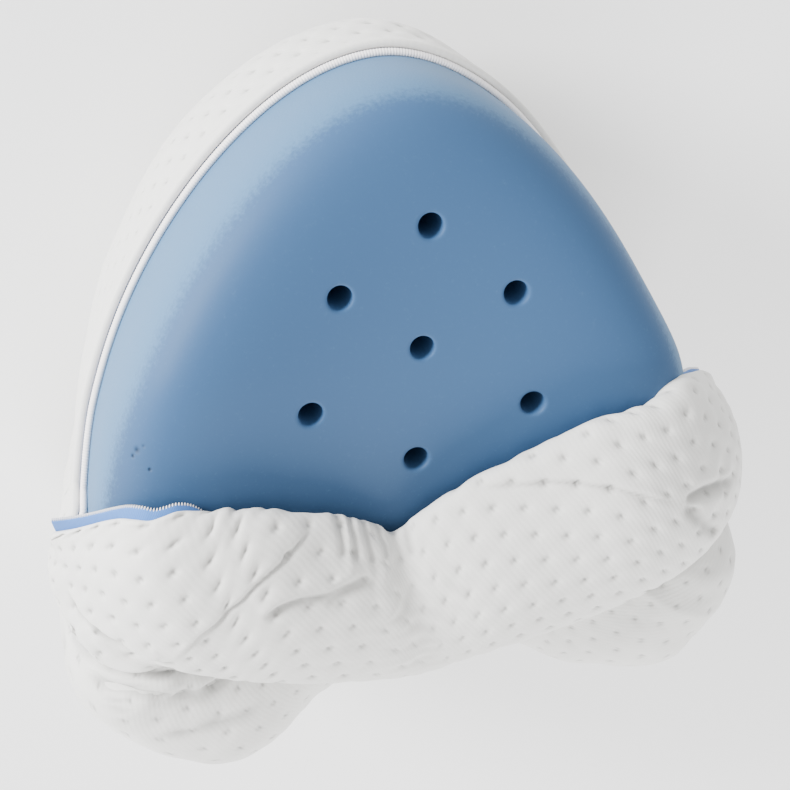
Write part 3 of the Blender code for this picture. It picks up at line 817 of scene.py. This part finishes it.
def smooth_range(tree, value, low, high):
    """Socket that goes smoothly from 0 to 1 while another goes from low to high."""
    made = node(tree, "ShaderNodeMapRange", interpolation_type="SMOOTHSTEP")
    made.inputs["From Min"].default_value = low
    made.inputs["From Max"].default_value = high
    tree.links.new(value, made.inputs["Value"])
    return made.outputs["Result"]


def stored(tree, name):
    """Socket with a value that the mesh holds for each point."""
    return node(tree, "ShaderNodeAttribute", attribute_name=name).outputs["Fac"]


PIT_RADIUS = 1.2 * MM          # radius of the painted shade in a dimple
PAINTED_SHADE_TONE = 0.42                # painted shade: brightness of the cloth in a pit or a crease, as a share of its own
PIT_PAINTED_SHADE = 0.6                  # how far the painted shade of a pit goes to that tone
FOLD_PAINTED_SHADE = 0.70               # how far the painted shade at the bottom of a deep crease goes to that tone


def knit_material(settings):
    """White quilted knit: fine slanting ribs, painted shade in the pit of each dimple and at the bottom of
    deep creases.
    """
    colour = tuple(settings.knit_colour)
    material, tree, shader = new_material("quilted knit", colour, 0.95, 0.25)
    cloth = node(tree, "ShaderNodeUVMap", uv_map="Cloth").outputs[0]
    ribs = node(tree, "ShaderNodeTexWave", wave_type="BANDS", bands_direction="DIAGONAL")
    ribs.inputs["Scale"].default_value = 250
    ribs.inputs["Distortion"].default_value = 1.2
    ribs.inputs["Detail"].default_value = 1.0
    ribs.inputs["Detail Scale"].default_value = 0.6
    tree.links.new(cloth, ribs.inputs["Vector"])
    ribs = ribs.outputs["Fac"]
    u, v, _ = split_axes(tree, cloth)
    pit = bell(tree, lattice_distance(tree, u, v, settings.dimple_pitch), PIT_RADIUS)
    pit = math_node(tree, "MULTIPLY", pit, stored(tree, "quilted"))
    # painted shade in the pits of the dimples
    painted_pit_shade = math_node(tree, "MULTIPLY", pit, math_node(tree, "ADD", ribs, 0.35))
    shade = tuple(c * PAINTED_SHADE_TONE for c in colour)
    tone = mixed(tree, math_node(tree, "MULTIPLY", painted_pit_shade, PIT_PAINTED_SHADE), colour, shade)
    # painted shade along the bottoms of the creases
    tone = mixed(tree, math_node(tree, "MULTIPLY", stored(tree, "fold"), FOLD_PAINTED_SHADE), tone, shade)
    tree.links.new(tone, shader.inputs["Base Color"])
    low = bump(tree, noise_texture(tree, cloth, 900, 2), 0.10 * MM, 0.5)
    low = bump(tree, ribs, 0.10 * MM, 0.4, low)
    low = bump(tree, math_node(tree, "MULTIPLY", pit, -1.0), 0.6 * MM, 0.7, low)
    tree.links.new(low, shader.inputs["Normal"])
    return material


ARCH_PAINTED_SHADE = 0.60              # painted shade: brightness of the foam's skin near the arch, as a share of its own
ARCH_PAINTED_SHADE_Y = (35 * MM, -45 * MM)     # where that painted shade starts, and where it is full
# painted shade in the pinholes: their brightness as a share of the face's
PINHOLE_PAINTED_SHADE = 0.3

# Pinholes in the foam's skin: x, y, z and radius, mm
PINHOLES = (
    (-4.6, 113.8, 120.4, 0.9), (-94.6, 1.7, 143.1, 1.0), (-92.5, 3.8, 144.5, 0.6), (-96.2, -0.8, 142.3, 0.6),
    (-82.5, 16.1, 147.3, 0.8), (-91.2, -3.9, 146.9, 0.5))


def foam_material(settings):
    """Blue foam: moulded skin on the face, painted shade towards the arch and in its pinholes, open grain and
    a paler tone round its edge and wall, partly painted light.
    """
    face = tuple(settings.foam_colour)
    material, tree, shader = new_material("moulded foam", face, 0.62, 0.02)
    place = node(tree, "ShaderNodeTexCoord").outputs["Object"]
    mottle = math_node(tree, "SUBTRACT", noise_texture(tree, place, 650, 5, 0.7), 0.5)
    patches = math_node(tree, "ADD", stored(tree, "rim"), math_node(tree, "MULTIPLY", mottle, 1.3))
    share = smooth_range(tree, patches, 0.05, 0.85)
    # painted shade: the face's colour is darkened towards the arch
    painted_arch_shade = smooth_range(tree, split_axes(tree, place)[1], *ARCH_PAINTED_SHADE_Y)
    colour = mixed(tree, painted_arch_shade, face, tuple(c * ARCH_PAINTED_SHADE for c in face))
    # paler edge and wall: partly the open grain's own tone, partly painted light of the lit wall
    colour = mixed(tree, share, colour, tuple(settings.edge_colour_and_painted_light))
    dark = None
    for x, y, z, radius in PINHOLES:
        away = node(tree, "ShaderNodeVectorMath", operation="DISTANCE")
        away.inputs[1].default_value = Vector((x, y, z)) * MM - Vector(ORIGIN)
        tree.links.new(place, away.inputs[0])
        spot = bell(tree, away.outputs["Value"], radius * MM)
        dark = spot if dark is None else math_node(tree, "MAXIMUM", dark, spot)
    # painted shade: the pinholes are darkened
    colour = mixed(tree, dark, colour, tuple(c * PINHOLE_PAINTED_SHADE for c in face))
    tree.links.new(colour, shader.inputs["Base Color"])
    open_grain = math_node(tree, "ADD", math_node(tree, "MULTIPLY", share, 0.8), 0.2)
    rough = math_node(tree, "MULTIPLY", noise_texture(tree, place, 1100, 3), open_grain)
    low = bump(tree, rough, 0.22 * MM, 0.6)
    low = bump(tree, math_node(tree, "MULTIPLY", dark, -1.0), 0.6 * MM, 1.0, low)
    tree.links.new(low, shader.inputs["Normal"])
    return material


def tape_material(settings):
    """Light blue woven tape with fine cross ribs."""
    colour = tuple(settings.tape_colour)
    material, tree, shader = new_material("woven tape", colour, 0.8, 0.15)
    cloth = node(tree, "ShaderNodeUVMap", uv_map="Cloth")
    ribs = node(tree, "ShaderNodeTexWave", wave_type="BANDS", bands_direction="X")
    ribs.inputs["Scale"].default_value = 420
    tree.links.new(cloth.outputs[0], ribs.inputs["Vector"])
    tone = mixed(tree, ribs.outputs["Fac"], colour, tuple(c * 0.88 for c in colour))
    tree.links.new(tone, shader.inputs["Base Color"])
    tree.links.new(bump(tree, ribs.outputs["Fac"], 0.1 * MM, 0.6), shader.inputs["Normal"])
    return material


# Pieces

FOAM_STATIONS = 336
FOAM_ROWS = 96
CAP_V = 0.29                   # where the foam's faces are joined to its wall, along the section
CAP_STEP = 2.4 * MM
CAP_MARGIN = 0.012             # share of the outline left free between a face's inner points and its rim
VENT_SIDES = 40
VENT_RINGS = (0.0, 0.12, 0.3, 0.55, 0.85, 1.3, 2.0)   # radii of the rings round a vent, in lips past its wall
VENT_MARGIN = 2.7              # lips past a vent's wall that are kept free of a face's inner points
CRISP_POWER = 5.8              # sharpness of the front face's edge, away from the arch
CRISP_Y = (-5 * MM, 30 * MM)   # where that edge starts and where it is full
SIDE_BULGE = 4.2 * MM          # how far the foam's right edge is pushed out beside the panel's end
SIDE_BULGE_Y = 15 * MM
SIDE_BULGE_REACH = 28 * MM
RIM_SHARE = (0.93, 1.0)        # where the face's tone turns to the wall's paler tone, partly painted light, by outline_share


def face_height(x, y, side):
    """Height of one leg face. side is 1 for the front face and -1 for the back one."""
    half = len(SECTION) // 2
    rise = np.interp(outline_share(x, y), SECTION[:half, 0], SECTION[:half, 1])
    return MIDDLE_Z + side * rise * half_thickness(x, y)


def foam_face(side, loop):
    """Points and triangles of one leg face, the places of its rim and of each vent's inner ring in them."""
    vents = np.array(VENTS) * MM

    def to_vent(x, y):
        return np.min(np.hypot(vents[:, 0] - x, vents[:, 1] - y))

    flat = [tuple(p[:2]) for p in loop]
    drop = [0.0] * len(flat)
    edges = [(i, (i + 1) % len(flat)) for i in range(len(flat))]
    inner = []
    for x, y in vents:
        inner.append(len(flat))
        edges += [(inner[-1] + k, inner[-1] + (k + 1) % VENT_SIDES) for k in range(VENT_SIDES)]
        for row, ring in enumerate(VENT_RINGS):
            away = VENT_RADIUS + ring * VENT_LIP
            for k in range(VENT_SIDES):
                a = 2 * math.pi * (k + 0.5 * (row % 2)) / VENT_SIDES
                flat.append((x + away * math.cos(a), y + away * math.sin(a)))
                drop.append(VENT_LIP * (1 - math.sqrt(max(0, 1 - (1 - min(1, ring)) ** 2))))
    most = np.interp(CAP_V, SHARES, SECTION[:, 0])
    rows = int(2 * HALF_WIDTH / (CAP_STEP * ROW_SHARE))
    for row in range(-rows, rows):
        y = row * CAP_STEP * ROW_SHARE
        for column in range(-rows, rows):
            x = (column + 0.5 * (row % 2)) * CAP_STEP
            clear = to_vent(x, y) >= VENT_RADIUS + VENT_MARGIN * VENT_LIP
            if clear and outline_share(x, y) <= most - CAP_MARGIN:
                flat.append((x, y))
                drop.append(0.0)
    made = delaunay_2d_cdt([Vector(p) for p in flat], edges, [], 0, 1e-7)
    points = np.array([tuple(p) for p in made[0]])
    origin = [group[0] if group else -1 for group in made[3]]
    drops = np.array([drop[k] if k >= 0 else 0.0 for k in origin])
    triangles = []
    for face in made[2]:
        x, y = points[list(face)].mean(axis=0)
        if to_vent(x, y) >= VENT_RADIUS * math.cos(math.pi / VENT_SIDES) and outline_share(x, y) <= most:
            triangles.append(tuple(face))
    z = face_height(points[:, 0], points[:, 1], side) - side * drops
    place = {k: i for i, k in enumerate(origin)}
    rim = [place[k] for k in range(len(loop))]
    rings = [[place[first + k] for k in range(VENT_SIDES)] for first in inner]
    return np.column_stack((points, z)), triangles, rim, rings


def shaped(points):
    """Foam points with the crisp edge of the front face, the bulge at the right and the flat underside."""
    x, y, z = points.T
    rise = np.clip((z - MIDDLE_Z) / half_thickness(x, y), 0, 1)
    inset = (1 - rise ** EDGE_POWER) ** (1 / EDGE_POWER)
    crisp = (1 - inset ** CRISP_POWER) ** (1 / CRISP_POWER)
    raised = (crisp - rise) * half_thickness(x, y) * smooth(y, *CRISP_Y)
    z = z + np.where(z > MIDDLE_Z, raised, 0)
    bulge = SIDE_BULGE * np.exp(-((y - SIDE_BULGE_Y) / SIDE_BULGE_REACH) ** 2)
    bulge = bulge * smooth(y, CRISP_Y[0], SIDE_BULGE_Y) * smooth(z, 85 * MM, 120 * MM)
    x = x + bulge * smooth(x, 55 * MM, 100 * MM)
    return np.stack((x, y, np.maximum(z, FLOOR_FOAM)), axis=1)


def make_foam(settings):
    q = -1 + 2 * (np.arange(FOAM_STATIONS) + 0.5) / FOAM_STATIONS
    v = np.linspace(CAP_V, 1 - CAP_V, FOAM_ROWS + 1)
    wall = bare_skin(q[:, None], v[None, :])
    index = np.arange(wall[..., 0].size).reshape(wall.shape[:2])
    points = [wall.reshape(-1, 3)]
    faces = quads(index, np.roll(index, -1, axis=0))
    start = index.size
    rings = []
    for side, row in ((1, 0), (-1, FOAM_ROWS)):
        cap, triangles, rim, vents = foam_face(side, wall[:, row])
        place = np.arange(len(cap)) + start
        place[rim] = index[:, row]
        faces += [tuple(int(place[k]) for k in face) for face in triangles]
        points.append(cap)
        rings.append([[int(place[k]) for k in ring] for ring in vents])
        start += len(cap)
    for front, back in zip(*rings):
        faces += ring_faces((np.array(front), np.array(back)))
    body = new_object("foam_core", shaped(np.concatenate(points)), faces)
    tidy(body)
    coordinates = np.zeros(len(body.data.vertices) * 3)
    body.data.vertices.foreach_get("co", coordinates)
    x, y, _ = (coordinates.reshape(-1, 3) + ORIGIN).T
    point_values(body, "rim", smooth(outline_share(x, y), *RIM_SHARE))
    body.data.materials.append(foam_material(settings))
    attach(body, "root")
    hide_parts("foam_core")
    return body


SWELL_SHARE = 0.6              # depth of the wide hollow round a dimple, as a share of its pit's


def quilt(body, settings):
    """Presses the dimples into a panel and gives it its finish."""
    paint = bpy.data.materials.get("quilted knit") or knit_material(settings)
    apply_tree(body, quilting_tree(), pitch=settings.dimple_pitch, depth=SWELL_SHARE * settings.dimple_depth,
               dimple_radius=settings.dimple_radius, pit_depth=settings.dimple_depth, material=paint)


BACK_STATIONS = 560
BACK_ROWS = 104
BACK_END = 0.992               # where the rows of the back panel end, along the section
FLOOR_CLOTH = 0.70             # where its cloth is measured along the floor instead of down the wall
ON_FLOOR = 0.6 * MM            # height up to which the cloth is pressed too flat to show its dimples


def on_back(places):
    """Points on the back panel's outer side, at places round the outline and along the section."""
    q, v = places[..., 0], places[..., 1]
    return skin(q, v, back_room(q, v) + CLOTH)


def back_surface(q, edge):
    """Outer and inner side of the back panel from its edge down, its cloth coordinates, mask and painted
    crease shade.
    """
    v = edge[:, None] + (BACK_END - edge[:, None]) * np.linspace(0, 1, BACK_ROWS + 1)[None, :]
    around = np.broadcast_to(q[:, None], v.shape)
    room = back_room(around, v)
    outer = skin(around, v, room + CLOTH)
    waist = skin(np.append(q, q[0] + 2)[:, None], np.full((BACK_STATIONS + 1, 1), 0.5), 0.0)
    u = np.broadcast_to(arc_lengths(waist, 0)[:-1], v.shape)
    down = arc_lengths(outer, 1) + (edge[:, None] - 0.5) * SECTION_LENGTH
    lines = [on_back(dense(crease[-1])) for crease in BACK_CREASES]
    height, fold = crease_height(outer, lines, BACK_CREASES)
    height = height + swell(u, down, *BACK_LOOSE) * np.clip((room - 4 * MM) / (20 * MM), 0, 1)
    height = height + swell(u, down, *BACK_SWELL) * smooth(v, edge[:, None] + 0.03, 0.6)
    height = height * (1 - smooth(v, 0.66, 0.76))
    outer = outer + grid_normals(outer, closed=True) * height[..., None]
    outer[..., 2] = np.maximum(outer[..., 2], GROUND)
    inner = skin(around, v, room)[::2, ::2]
    inner[..., 2] = np.maximum(inner[..., 2], GROUND + CLOTH)
    cloth = np.where((v > FLOOR_CLOTH)[..., None], outer[..., :2], np.stack((u, down), axis=-1))
    mask = smooth(v, edge[:, None] + 0.012, edge[:, None] + 0.03) * (outer[..., 2] > GROUND + ON_FLOOR)
    return outer, inner, cloth, mask, fold


def make_cover_back(settings):
    q = -1 + 2 * (np.arange(BACK_STATIONS) + 0.5) / BACK_STATIONS
    edge = back_fit(q)[3]
    outer, inner, cloth, mask, fold = back_surface(q, edge)
    index = np.arange(mask.size).reshape(mask.shape)
    after = np.roll(index, -1, axis=0)
    faces = quads(index, after)
    room = back_room(q, edge)
    up = unit(outer[:, 0] - skin(q, edge, room))
    rim, rings = rounded_rim(skin(q, edge, room + CLOTH / 2), up, outer[:, 0] - outer[:, 1], CLOTH / 2,
                             index[:, 0], index.size)
    faces += ring_faces(rings)
    start = int(rings[-1][-1]) + 1
    inside = np.arange(inner[..., 0].size).reshape(inner.shape[:2]) + start
    inside_after = np.roll(inside, -1, axis=0)
    faces += quads(inside, inside_after)
    last = rings[-1]
    for k, (d, e) in enumerate(zip(inside[:, 0].tolist(), inside_after[:, 0].tolist())):
        a, b, c = (int(last[(2 * k + step) % len(last)]) for step in range(3))
        faces += [(a, b, d), (b, e, d), (b, c, e)]
    start += inside.size
    faces += [(one, start, two) for one, two in zip(index[:, -1].tolist(), after[:, -1].tolist())]
    faces += [(one, two, start + 1) for one, two in zip(inside[:, -1].tolist(), inside_after[:, -1].tolist())]
    ends = [skin(0.0, 1.0, AIR + CLOTH)[None], skin(0.0, 1.0, AIR)[None]]
    points = np.concatenate([outer.reshape(-1, 3)] + rim + [inner.reshape(-1, 3)] + ends)
    uv = [cloth.reshape(-1, 2)] + [cloth[:, 0]] * len(rim) + [inner.reshape(-1, 3)[:, :2], ((0, 0), (0, 0))]
    body = new_object("cover_back", points, faces, np.concatenate(uv))
    tidy(body)
    point_values(body, "quilted", mask)
    # fold holds the painted shade of the creases
    point_values(body, "fold", fold)
    quilt(body, settings)
    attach(body, "root")
    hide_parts("cover_back")
    return body


PANEL_FINER = (8, 6)           # steps of the shown panel to a step of the settled one, along and across
LEFT_STRETCH = 0.88            # the knit is stretched on the left, so its dimples are farther apart there
ROW_TURN = 0.42                # slope of the rows of dimples against the panel on the right
ROW_SHEAR = -0.38              # how far the pulled knit leans, sideways for its height


def panel_surface():
    """Fine middle surface of the front panel, its height over that, its cloth coordinates and its painted
    crease shade.
    """
    grid = finer(finer(panel_grid(), PANEL_FINER[0], 0), PANEL_FINER[1], 1)
    wide, deep = grid.shape[:2]
    u = arc_lengths(grid, 0, wide // 2)
    v = arc_lengths(grid, 1, deep - 1)
    lines = [sample(grid, np.clip(dense(crease[-1]), 0, 1)) for crease in PANEL_CREASES]
    height, fold = crease_height(grid, lines, PANEL_CREASES)
    along = np.linspace(0, 1, wide)[:, None]
    across = np.linspace(0, 1, deep)[None, :]
    for k, (t, s, reach, *pucker) in enumerate(PUCKERS):
        centre = sample(grid, np.array([(t, s)]))[0]
        near = np.exp(-(np.linalg.norm(grid - centre, axis=-1) / (reach * MM)) ** 2)
        height = height + near * swell(grid[..., 0], grid[..., 1] + grid[..., 2], *pucker, 5.0 + 3 * k)
    free = between(across, (0.22, 0.34), (0.80, 0.90)) * between(along, (0.0, 0.06), (0.94, 1.0))
    height = height + swell(u, v, *PANEL_SWELL) * free
    at_edge = between(across, (0.70, 0.80), (0.93, 1.0)) * smooth(along, 0.25, 0.35)
    height = height + swell(u, v * 0.3, *EDGE_SCALLOPS) * at_edge
    height = height * between(across, (0.0, 0.10), (0.93, 1.0))
    row = v + ROW_TURN * np.maximum(u, 0)
    place = np.where(u < 0, LEFT_STRETCH, 1.0) * u + ROW_SHEAR * row
    return grid, height, np.stack((place, row), axis=-1), fold


# Where slack cloth shows its dimples less, along the panel, and how much less
FLAT_MIDDLE, FLAT_REACH, FLAT_SHARE = 0.53, 0.10, 0.6


def make_cover_front(settings):
    grid, height, cloth, fold = panel_surface()
    body = closed_sheet("cover_front", grid, height, CLOTH, cloth)
    along = np.linspace(0, 1, fold.shape[0])[:, None]
    flatter = np.exp(-((along - FLAT_MIDDLE) / FLAT_REACH) ** 2) * FLAT_SHARE
    point_values(body, "quilted", np.broadcast_to(1 - flatter, fold.shape))
    # fold holds the painted shade of the creases
    point_values(body, "fold", fold)
    quilt(body, settings)
    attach(body, "root")
    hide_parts("cover_front")
    return body


BACK_TAPE_STATIONS = 420


def tape_line_back():
    """Middle surface of the back panel's zip tape, five points across it."""
    start, end = BACK_TAPE
    q = np.linspace(start, end, BACK_TAPE_STATIONS)[:, None]
    edge = back_fit(q)[3]
    deep = (TAPE_SIDE - TAPE_PROUD) / SECTION_LENGTH
    proud = TAPE_PROUD / SECTION_LENGTH
    off = np.array((deep, deep / 2, 0.0, -proud / 2, -proud))[None, :]
    q = np.broadcast_to(q, (BACK_TAPE_STATIONS, off.size))
    return skin(q, edge + off, back_room(q, edge + np.maximum(off, 0)) - AIR - TAPE / 2)


TAPE_END = 0.15                # share of the front tape, at each end, that leans out of the cover
TAPE_LEAN = (-0.4, 0.8, 0.0)
TAPE_EXTRA = 1.2 * MM          # how much more of the tape shows where the left end is pulled
TAPE_EXTRA_END = (0.12, 0.22)  # where along the panel that ends
TAPE_FINER = (8, 2)            # steps of the front tape to a step of the settled panel, along and across


def tape_line_front():
    """Middle surface of the front panel's zip tape, on the inner side of the panel's edge."""
    coarse = panel_grid()
    normals = grid_normals(coarse)
    under = coarse - normals * (CLOTH / 2 + AIR + TAPE / 2)
    lines = []
    for t, line, given in zip(np.linspace(0, 1, PANEL_STATIONS), under, coarse):
        last = given[-1] - given[-2]
        back = max(1, round((TAPE_SIDE - TAPE_PROUD) / np.linalg.norm(last)))
        middle = (line[-1 - back // 2] + line[-1 - (back + 1) // 2]) / 2
        at_end = 1 - smooth(min(t, 1 - t), 0, TAPE_END)
        proud = TAPE_PROUD + TAPE_EXTRA * (1 - smooth(t, *TAPE_EXTRA_END))
        out = unit(unit(last) + np.array(TAPE_LEAN) * at_end) * proud
        lines.append((line[-1 - back], middle, line[-1], line[-1] + out / 2, line[-1] + out))
    return finer(np.array(lines), TAPE_FINER[0], 0)


def make_tape(name, grid, settings):
    grid = finer(grid, TAPE_FINER[1], 1)
    cloth = np.stack((arc_lengths(grid, 0), arc_lengths(grid, 1)), axis=-1)
    body = closed_sheet(name, grid, np.zeros(grid.shape[:2]), TAPE, cloth)
    body.data.materials.append(bpy.data.materials.get("woven tape") or tape_material(settings))
    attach(body, "root")
    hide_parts(name)
    return body


def make_teeth(name, grid, size, lift, settings, tree):
    """Teeth along the free edge of a tape, their middles raised past it by lift.

    size is thickness, length along the tape and height. All are in metres.
    """
    out = unit(grid[:, -1] - grid[:, -2])
    line = grid[:, -1] + out * lift
    mesh = bpy.data.meshes.new(name)
    mesh.from_pydata((line - ORIGIN).tolist(), [(i, i + 1) for i in range(len(line) - 1)], [])
    layer = mesh.attributes.new("out", "FLOAT_VECTOR", "POINT")
    layer.data.foreach_set("vector", out.astype(np.float32).ravel())
    body = bpy.data.objects.new(name, mesh)
    bpy.context.scene.collection.objects.link(body)
    paint = bpy.data.materials.get("zip teeth")
    if paint is None:
        paint = new_material("zip teeth", tuple(settings.teeth_colour), 0.45)[0]
    apply_tree(body, tree, pitch=settings.tooth_pitch, size=size, material=paint)
    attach(body, "root")
    return body


# Each zip half: its tape's node, size of its teeth (thickness, length along the tape, height) and their lift
# past the tape's edge, in mm, and how the tape is held
ZIP_HALVES = (
    ("zip_tape_back", (3.0, 2.6, 3.8), -0.76, "stretched"),
    ("zip_tape_front", (1.2, 0.55, 1.7), 0.6, "gathered"),
)


# Operators

class PillowSettings(bpy.types.PropertyGroup):
    foam_colour: FloatVectorProperty(
        name="Foam colour", description="Colour of the foam's smooth face", subtype="COLOR", size=3,
        min=0, max=1, default=(0.031, 0.083, 0.182))
    # partly the open grain's own tone, partly painted light of the lit wall
    edge_colour_and_painted_light: FloatVectorProperty(
        name="Foam edge colour", description="Colour of the foam's wall and rounded edge", subtype="COLOR",
        size=3, min=0, max=1, default=(0.062, 0.148, 0.270))
    knit_colour: FloatVectorProperty(
        name="Knit colour", description="Colour of the cover's cloth", subtype="COLOR", size=3,
        min=0, max=1, default=(0.69, 0.685, 0.66))
    tape_colour: FloatVectorProperty(
        name="Tape colour", description="Colour of the zip's tape", subtype="COLOR", size=3,
        min=0, max=1, default=(0.060, 0.180, 0.49))
    teeth_colour: FloatVectorProperty(
        name="Teeth colour", description="Colour of the zip's teeth", subtype="COLOR", size=3,
        min=0, max=1, default=(0.85, 0.83, 0.84))
    dimple_pitch: FloatProperty(
        name="Dimple pitch", description="Distance between neighbouring dimples of the cloth", unit="LENGTH",
        min=0.004, max=0.03, default=10.6 * MM)
    dimple_depth: FloatProperty(
        name="Dimple depth", description="How far a dimple is pressed in", unit="LENGTH",
        min=0.0, max=0.003, default=0.8 * MM)
    dimple_radius: FloatProperty(
        name="Dimple radius", description="Radius of the pit in a dimple", unit="LENGTH",
        min=0.0005, max=0.005, default=1.4 * MM)
    tooth_pitch: FloatProperty(
        name="Tooth pitch", description="Distance between neighbouring zip teeth", unit="LENGTH",
        min=0.0005, max=0.01, default=1.05 * MM)


class StageSettings(bpy.types.PropertyGroup):
    floor_colour: FloatVectorProperty(
        name="Floor colour", description="Colour of the floor", subtype="COLOR", size=3,
        min=0, max=1, default=(0.95, 0.95, 0.95))
    key_power: FloatProperty(
        name="Key light", description="Power of the large light at the upper left", unit="POWER",
        min=0, max=500, default=50.0)
    sky_strength: FloatProperty(
        name="Sky", description="Strength of the even light from all round", min=0, max=5, default=1.5)


class PILLOW_OT_foam(bpy.types.Operator):
    """Builds the foam core with its vent holes"""

    bl_idname = "pillow.foam"
    bl_label = "Foam core"

    def execute(self, context):
        make_foam(context.scene.pillow)
        return {"FINISHED"}


class PILLOW_OT_cover(bpy.types.Operator):
    """Builds the two panels of the quilted cover"""

    bl_idname = "pillow.cover"
    bl_label = "Cover"

    def execute(self, context):
        settings = context.scene.pillow
        back = make_cover_back(settings)
        front = make_cover_front(settings)
        return {"FINISHED"}


class PILLOW_OT_zip(bpy.types.Operator):
    """Builds the zip's two tapes and their teeth"""

    bl_idname = "pillow.zip"
    bl_label = "Zip"

    def execute(self, context):
        settings = context.scene.pillow
        tree = teeth_tree()
        for (name, size, lift, held), grid in zip(ZIP_HALVES, (tape_line_back(), tape_line_front())):
            tape = make_tape(name, grid, settings)
            size = tuple(side * MM for side in size)
            teeth = make_teeth(name.replace("tape", "teeth"), grid, size, lift * MM, settings, tree)
            long = float(arc_lengths(grid, 0)[-1].mean())
        return {"FINISHED"}


CAMERA_PLACE = (-0.11643, 0.21220, 0.56830)
CAMERA_AXES = ((0.97253, 0.04034, 0.22924), (0.05783, 0.91211, -0.40585), (-0.22546, 0.40796, 0.88473))
CAMERA_LENS = 64.515           # mm
CAMERA_SENSOR = 36             # mm
FLOOR_HALF = 6                 # half the floor's side
LIT_PLACE = Vector((0, 0, 0.08))
KEY_PLACE, KEY_SIZE = Vector((-1.15, 0.55, 0.42)), 0.5
FILL_PLACE, FILL_SIZE, FILL_SHARE = Vector((0.25, -1.2, 0.75)), 0.9, 0.55


def add_light(name, place, power, size):
    lamp = bpy.data.lights.new(name, "AREA")
    lamp.shape = "DISK"
    lamp.size = size
    lamp.energy = power
    body = bpy.data.objects.new(name, lamp)
    turn = (LIT_PLACE - place).to_track_quat("-Z", "Y")
    body.matrix_world = Matrix.Translation(place) @ turn.to_matrix().to_4x4()
    bpy.context.scene.collection.objects.link(body)


class PILLOW_OT_stage(bpy.types.Operator):
    """Sets the floor, the lights and the camera"""

    bl_idname = "pillow.stage"
    bl_label = "Floor, lights and camera"

    def execute(self, context):
        stage = context.scene.pillow_stage
        mesh = bpy.data.meshes.new("floor")
        corners = [(x * FLOOR_HALF, y * FLOOR_HALF, 0) for x, y in ((-1, -1), (1, -1), (1, 1), (-1, 1))]
        mesh.from_pydata(corners, [], [(0, 1, 2, 3)])
        floor = bpy.data.objects.new("floor", mesh)
        context.scene.collection.objects.link(floor)
        floor.data.materials.append(new_material("floor", tuple(stage.floor_colour), 0.9)[0])
        add_light("key", KEY_PLACE, stage.key_power, KEY_SIZE)
        add_light("fill", FILL_PLACE, stage.key_power * FILL_SHARE, FILL_SIZE)
        world = bpy.data.worlds.new("studio")
        world.use_nodes = True
        sky = world.node_tree.nodes["Background"]
        sky.inputs["Color"].default_value = (1, 1, 1, 1)
        sky.inputs["Strength"].default_value = stage.sky_strength
        context.scene.world = world
        camera = bpy.data.cameras.new("photo")
        camera.lens = CAMERA_LENS
        camera.sensor_width = CAMERA_SENSOR
        camera.clip_start = 0.01
        body = bpy.data.objects.new("photo", camera)
        turn = Matrix(CAMERA_AXES).transposed().to_4x4()
        body.matrix_world = Matrix.Translation(Vector(CAMERA_PLACE) - Vector(ORIGIN)) @ turn
        context.scene.collection.objects.link(body)
        context.scene.camera = body
        return {"FINISHED"}


class PILLOW_PT_panel(bpy.types.Panel):
    """Lists the pillow's settings and builds its pieces"""

    bl_idname = "PILLOW_PT_panel"
    bl_label = "Knee pillow"
    bl_space_type = "VIEW_3D"
    bl_region_type = "UI"
    bl_category = "Pillow"

    def draw(self, context):
        for settings in (context.scene.pillow, context.scene.pillow_stage):
            for key in settings.__annotations__:
                self.layout.prop(settings, key)
        for operator in OPERATORS:
            self.layout.operator(operator.bl_idname)


OPERATORS = (PILLOW_OT_foam, PILLOW_OT_cover, PILLOW_OT_zip, PILLOW_OT_stage)
CLASSES = (PillowSettings, StageSettings, *OPERATORS, PILLOW_PT_panel)


def register():
    for cls in CLASSES:
        bpy.utils.register_class(cls)
    bpy.types.Scene.pillow = PointerProperty(type=PillowSettings)
    bpy.types.Scene.pillow_stage = PointerProperty(type=StageSettings)


def unregister():
    del bpy.types.Scene.pillow_stage
    del bpy.types.Scene.pillow
    for cls in reversed(CLASSES):
        bpy.utils.unregister_class(cls)


def main():
    register()
    bpy.ops.pillow.foam()
    bpy.ops.pillow.cover()
    bpy.ops.pillow.zip()
    bpy.ops.pillow.stage()


if __name__ == "__main__":
    main()
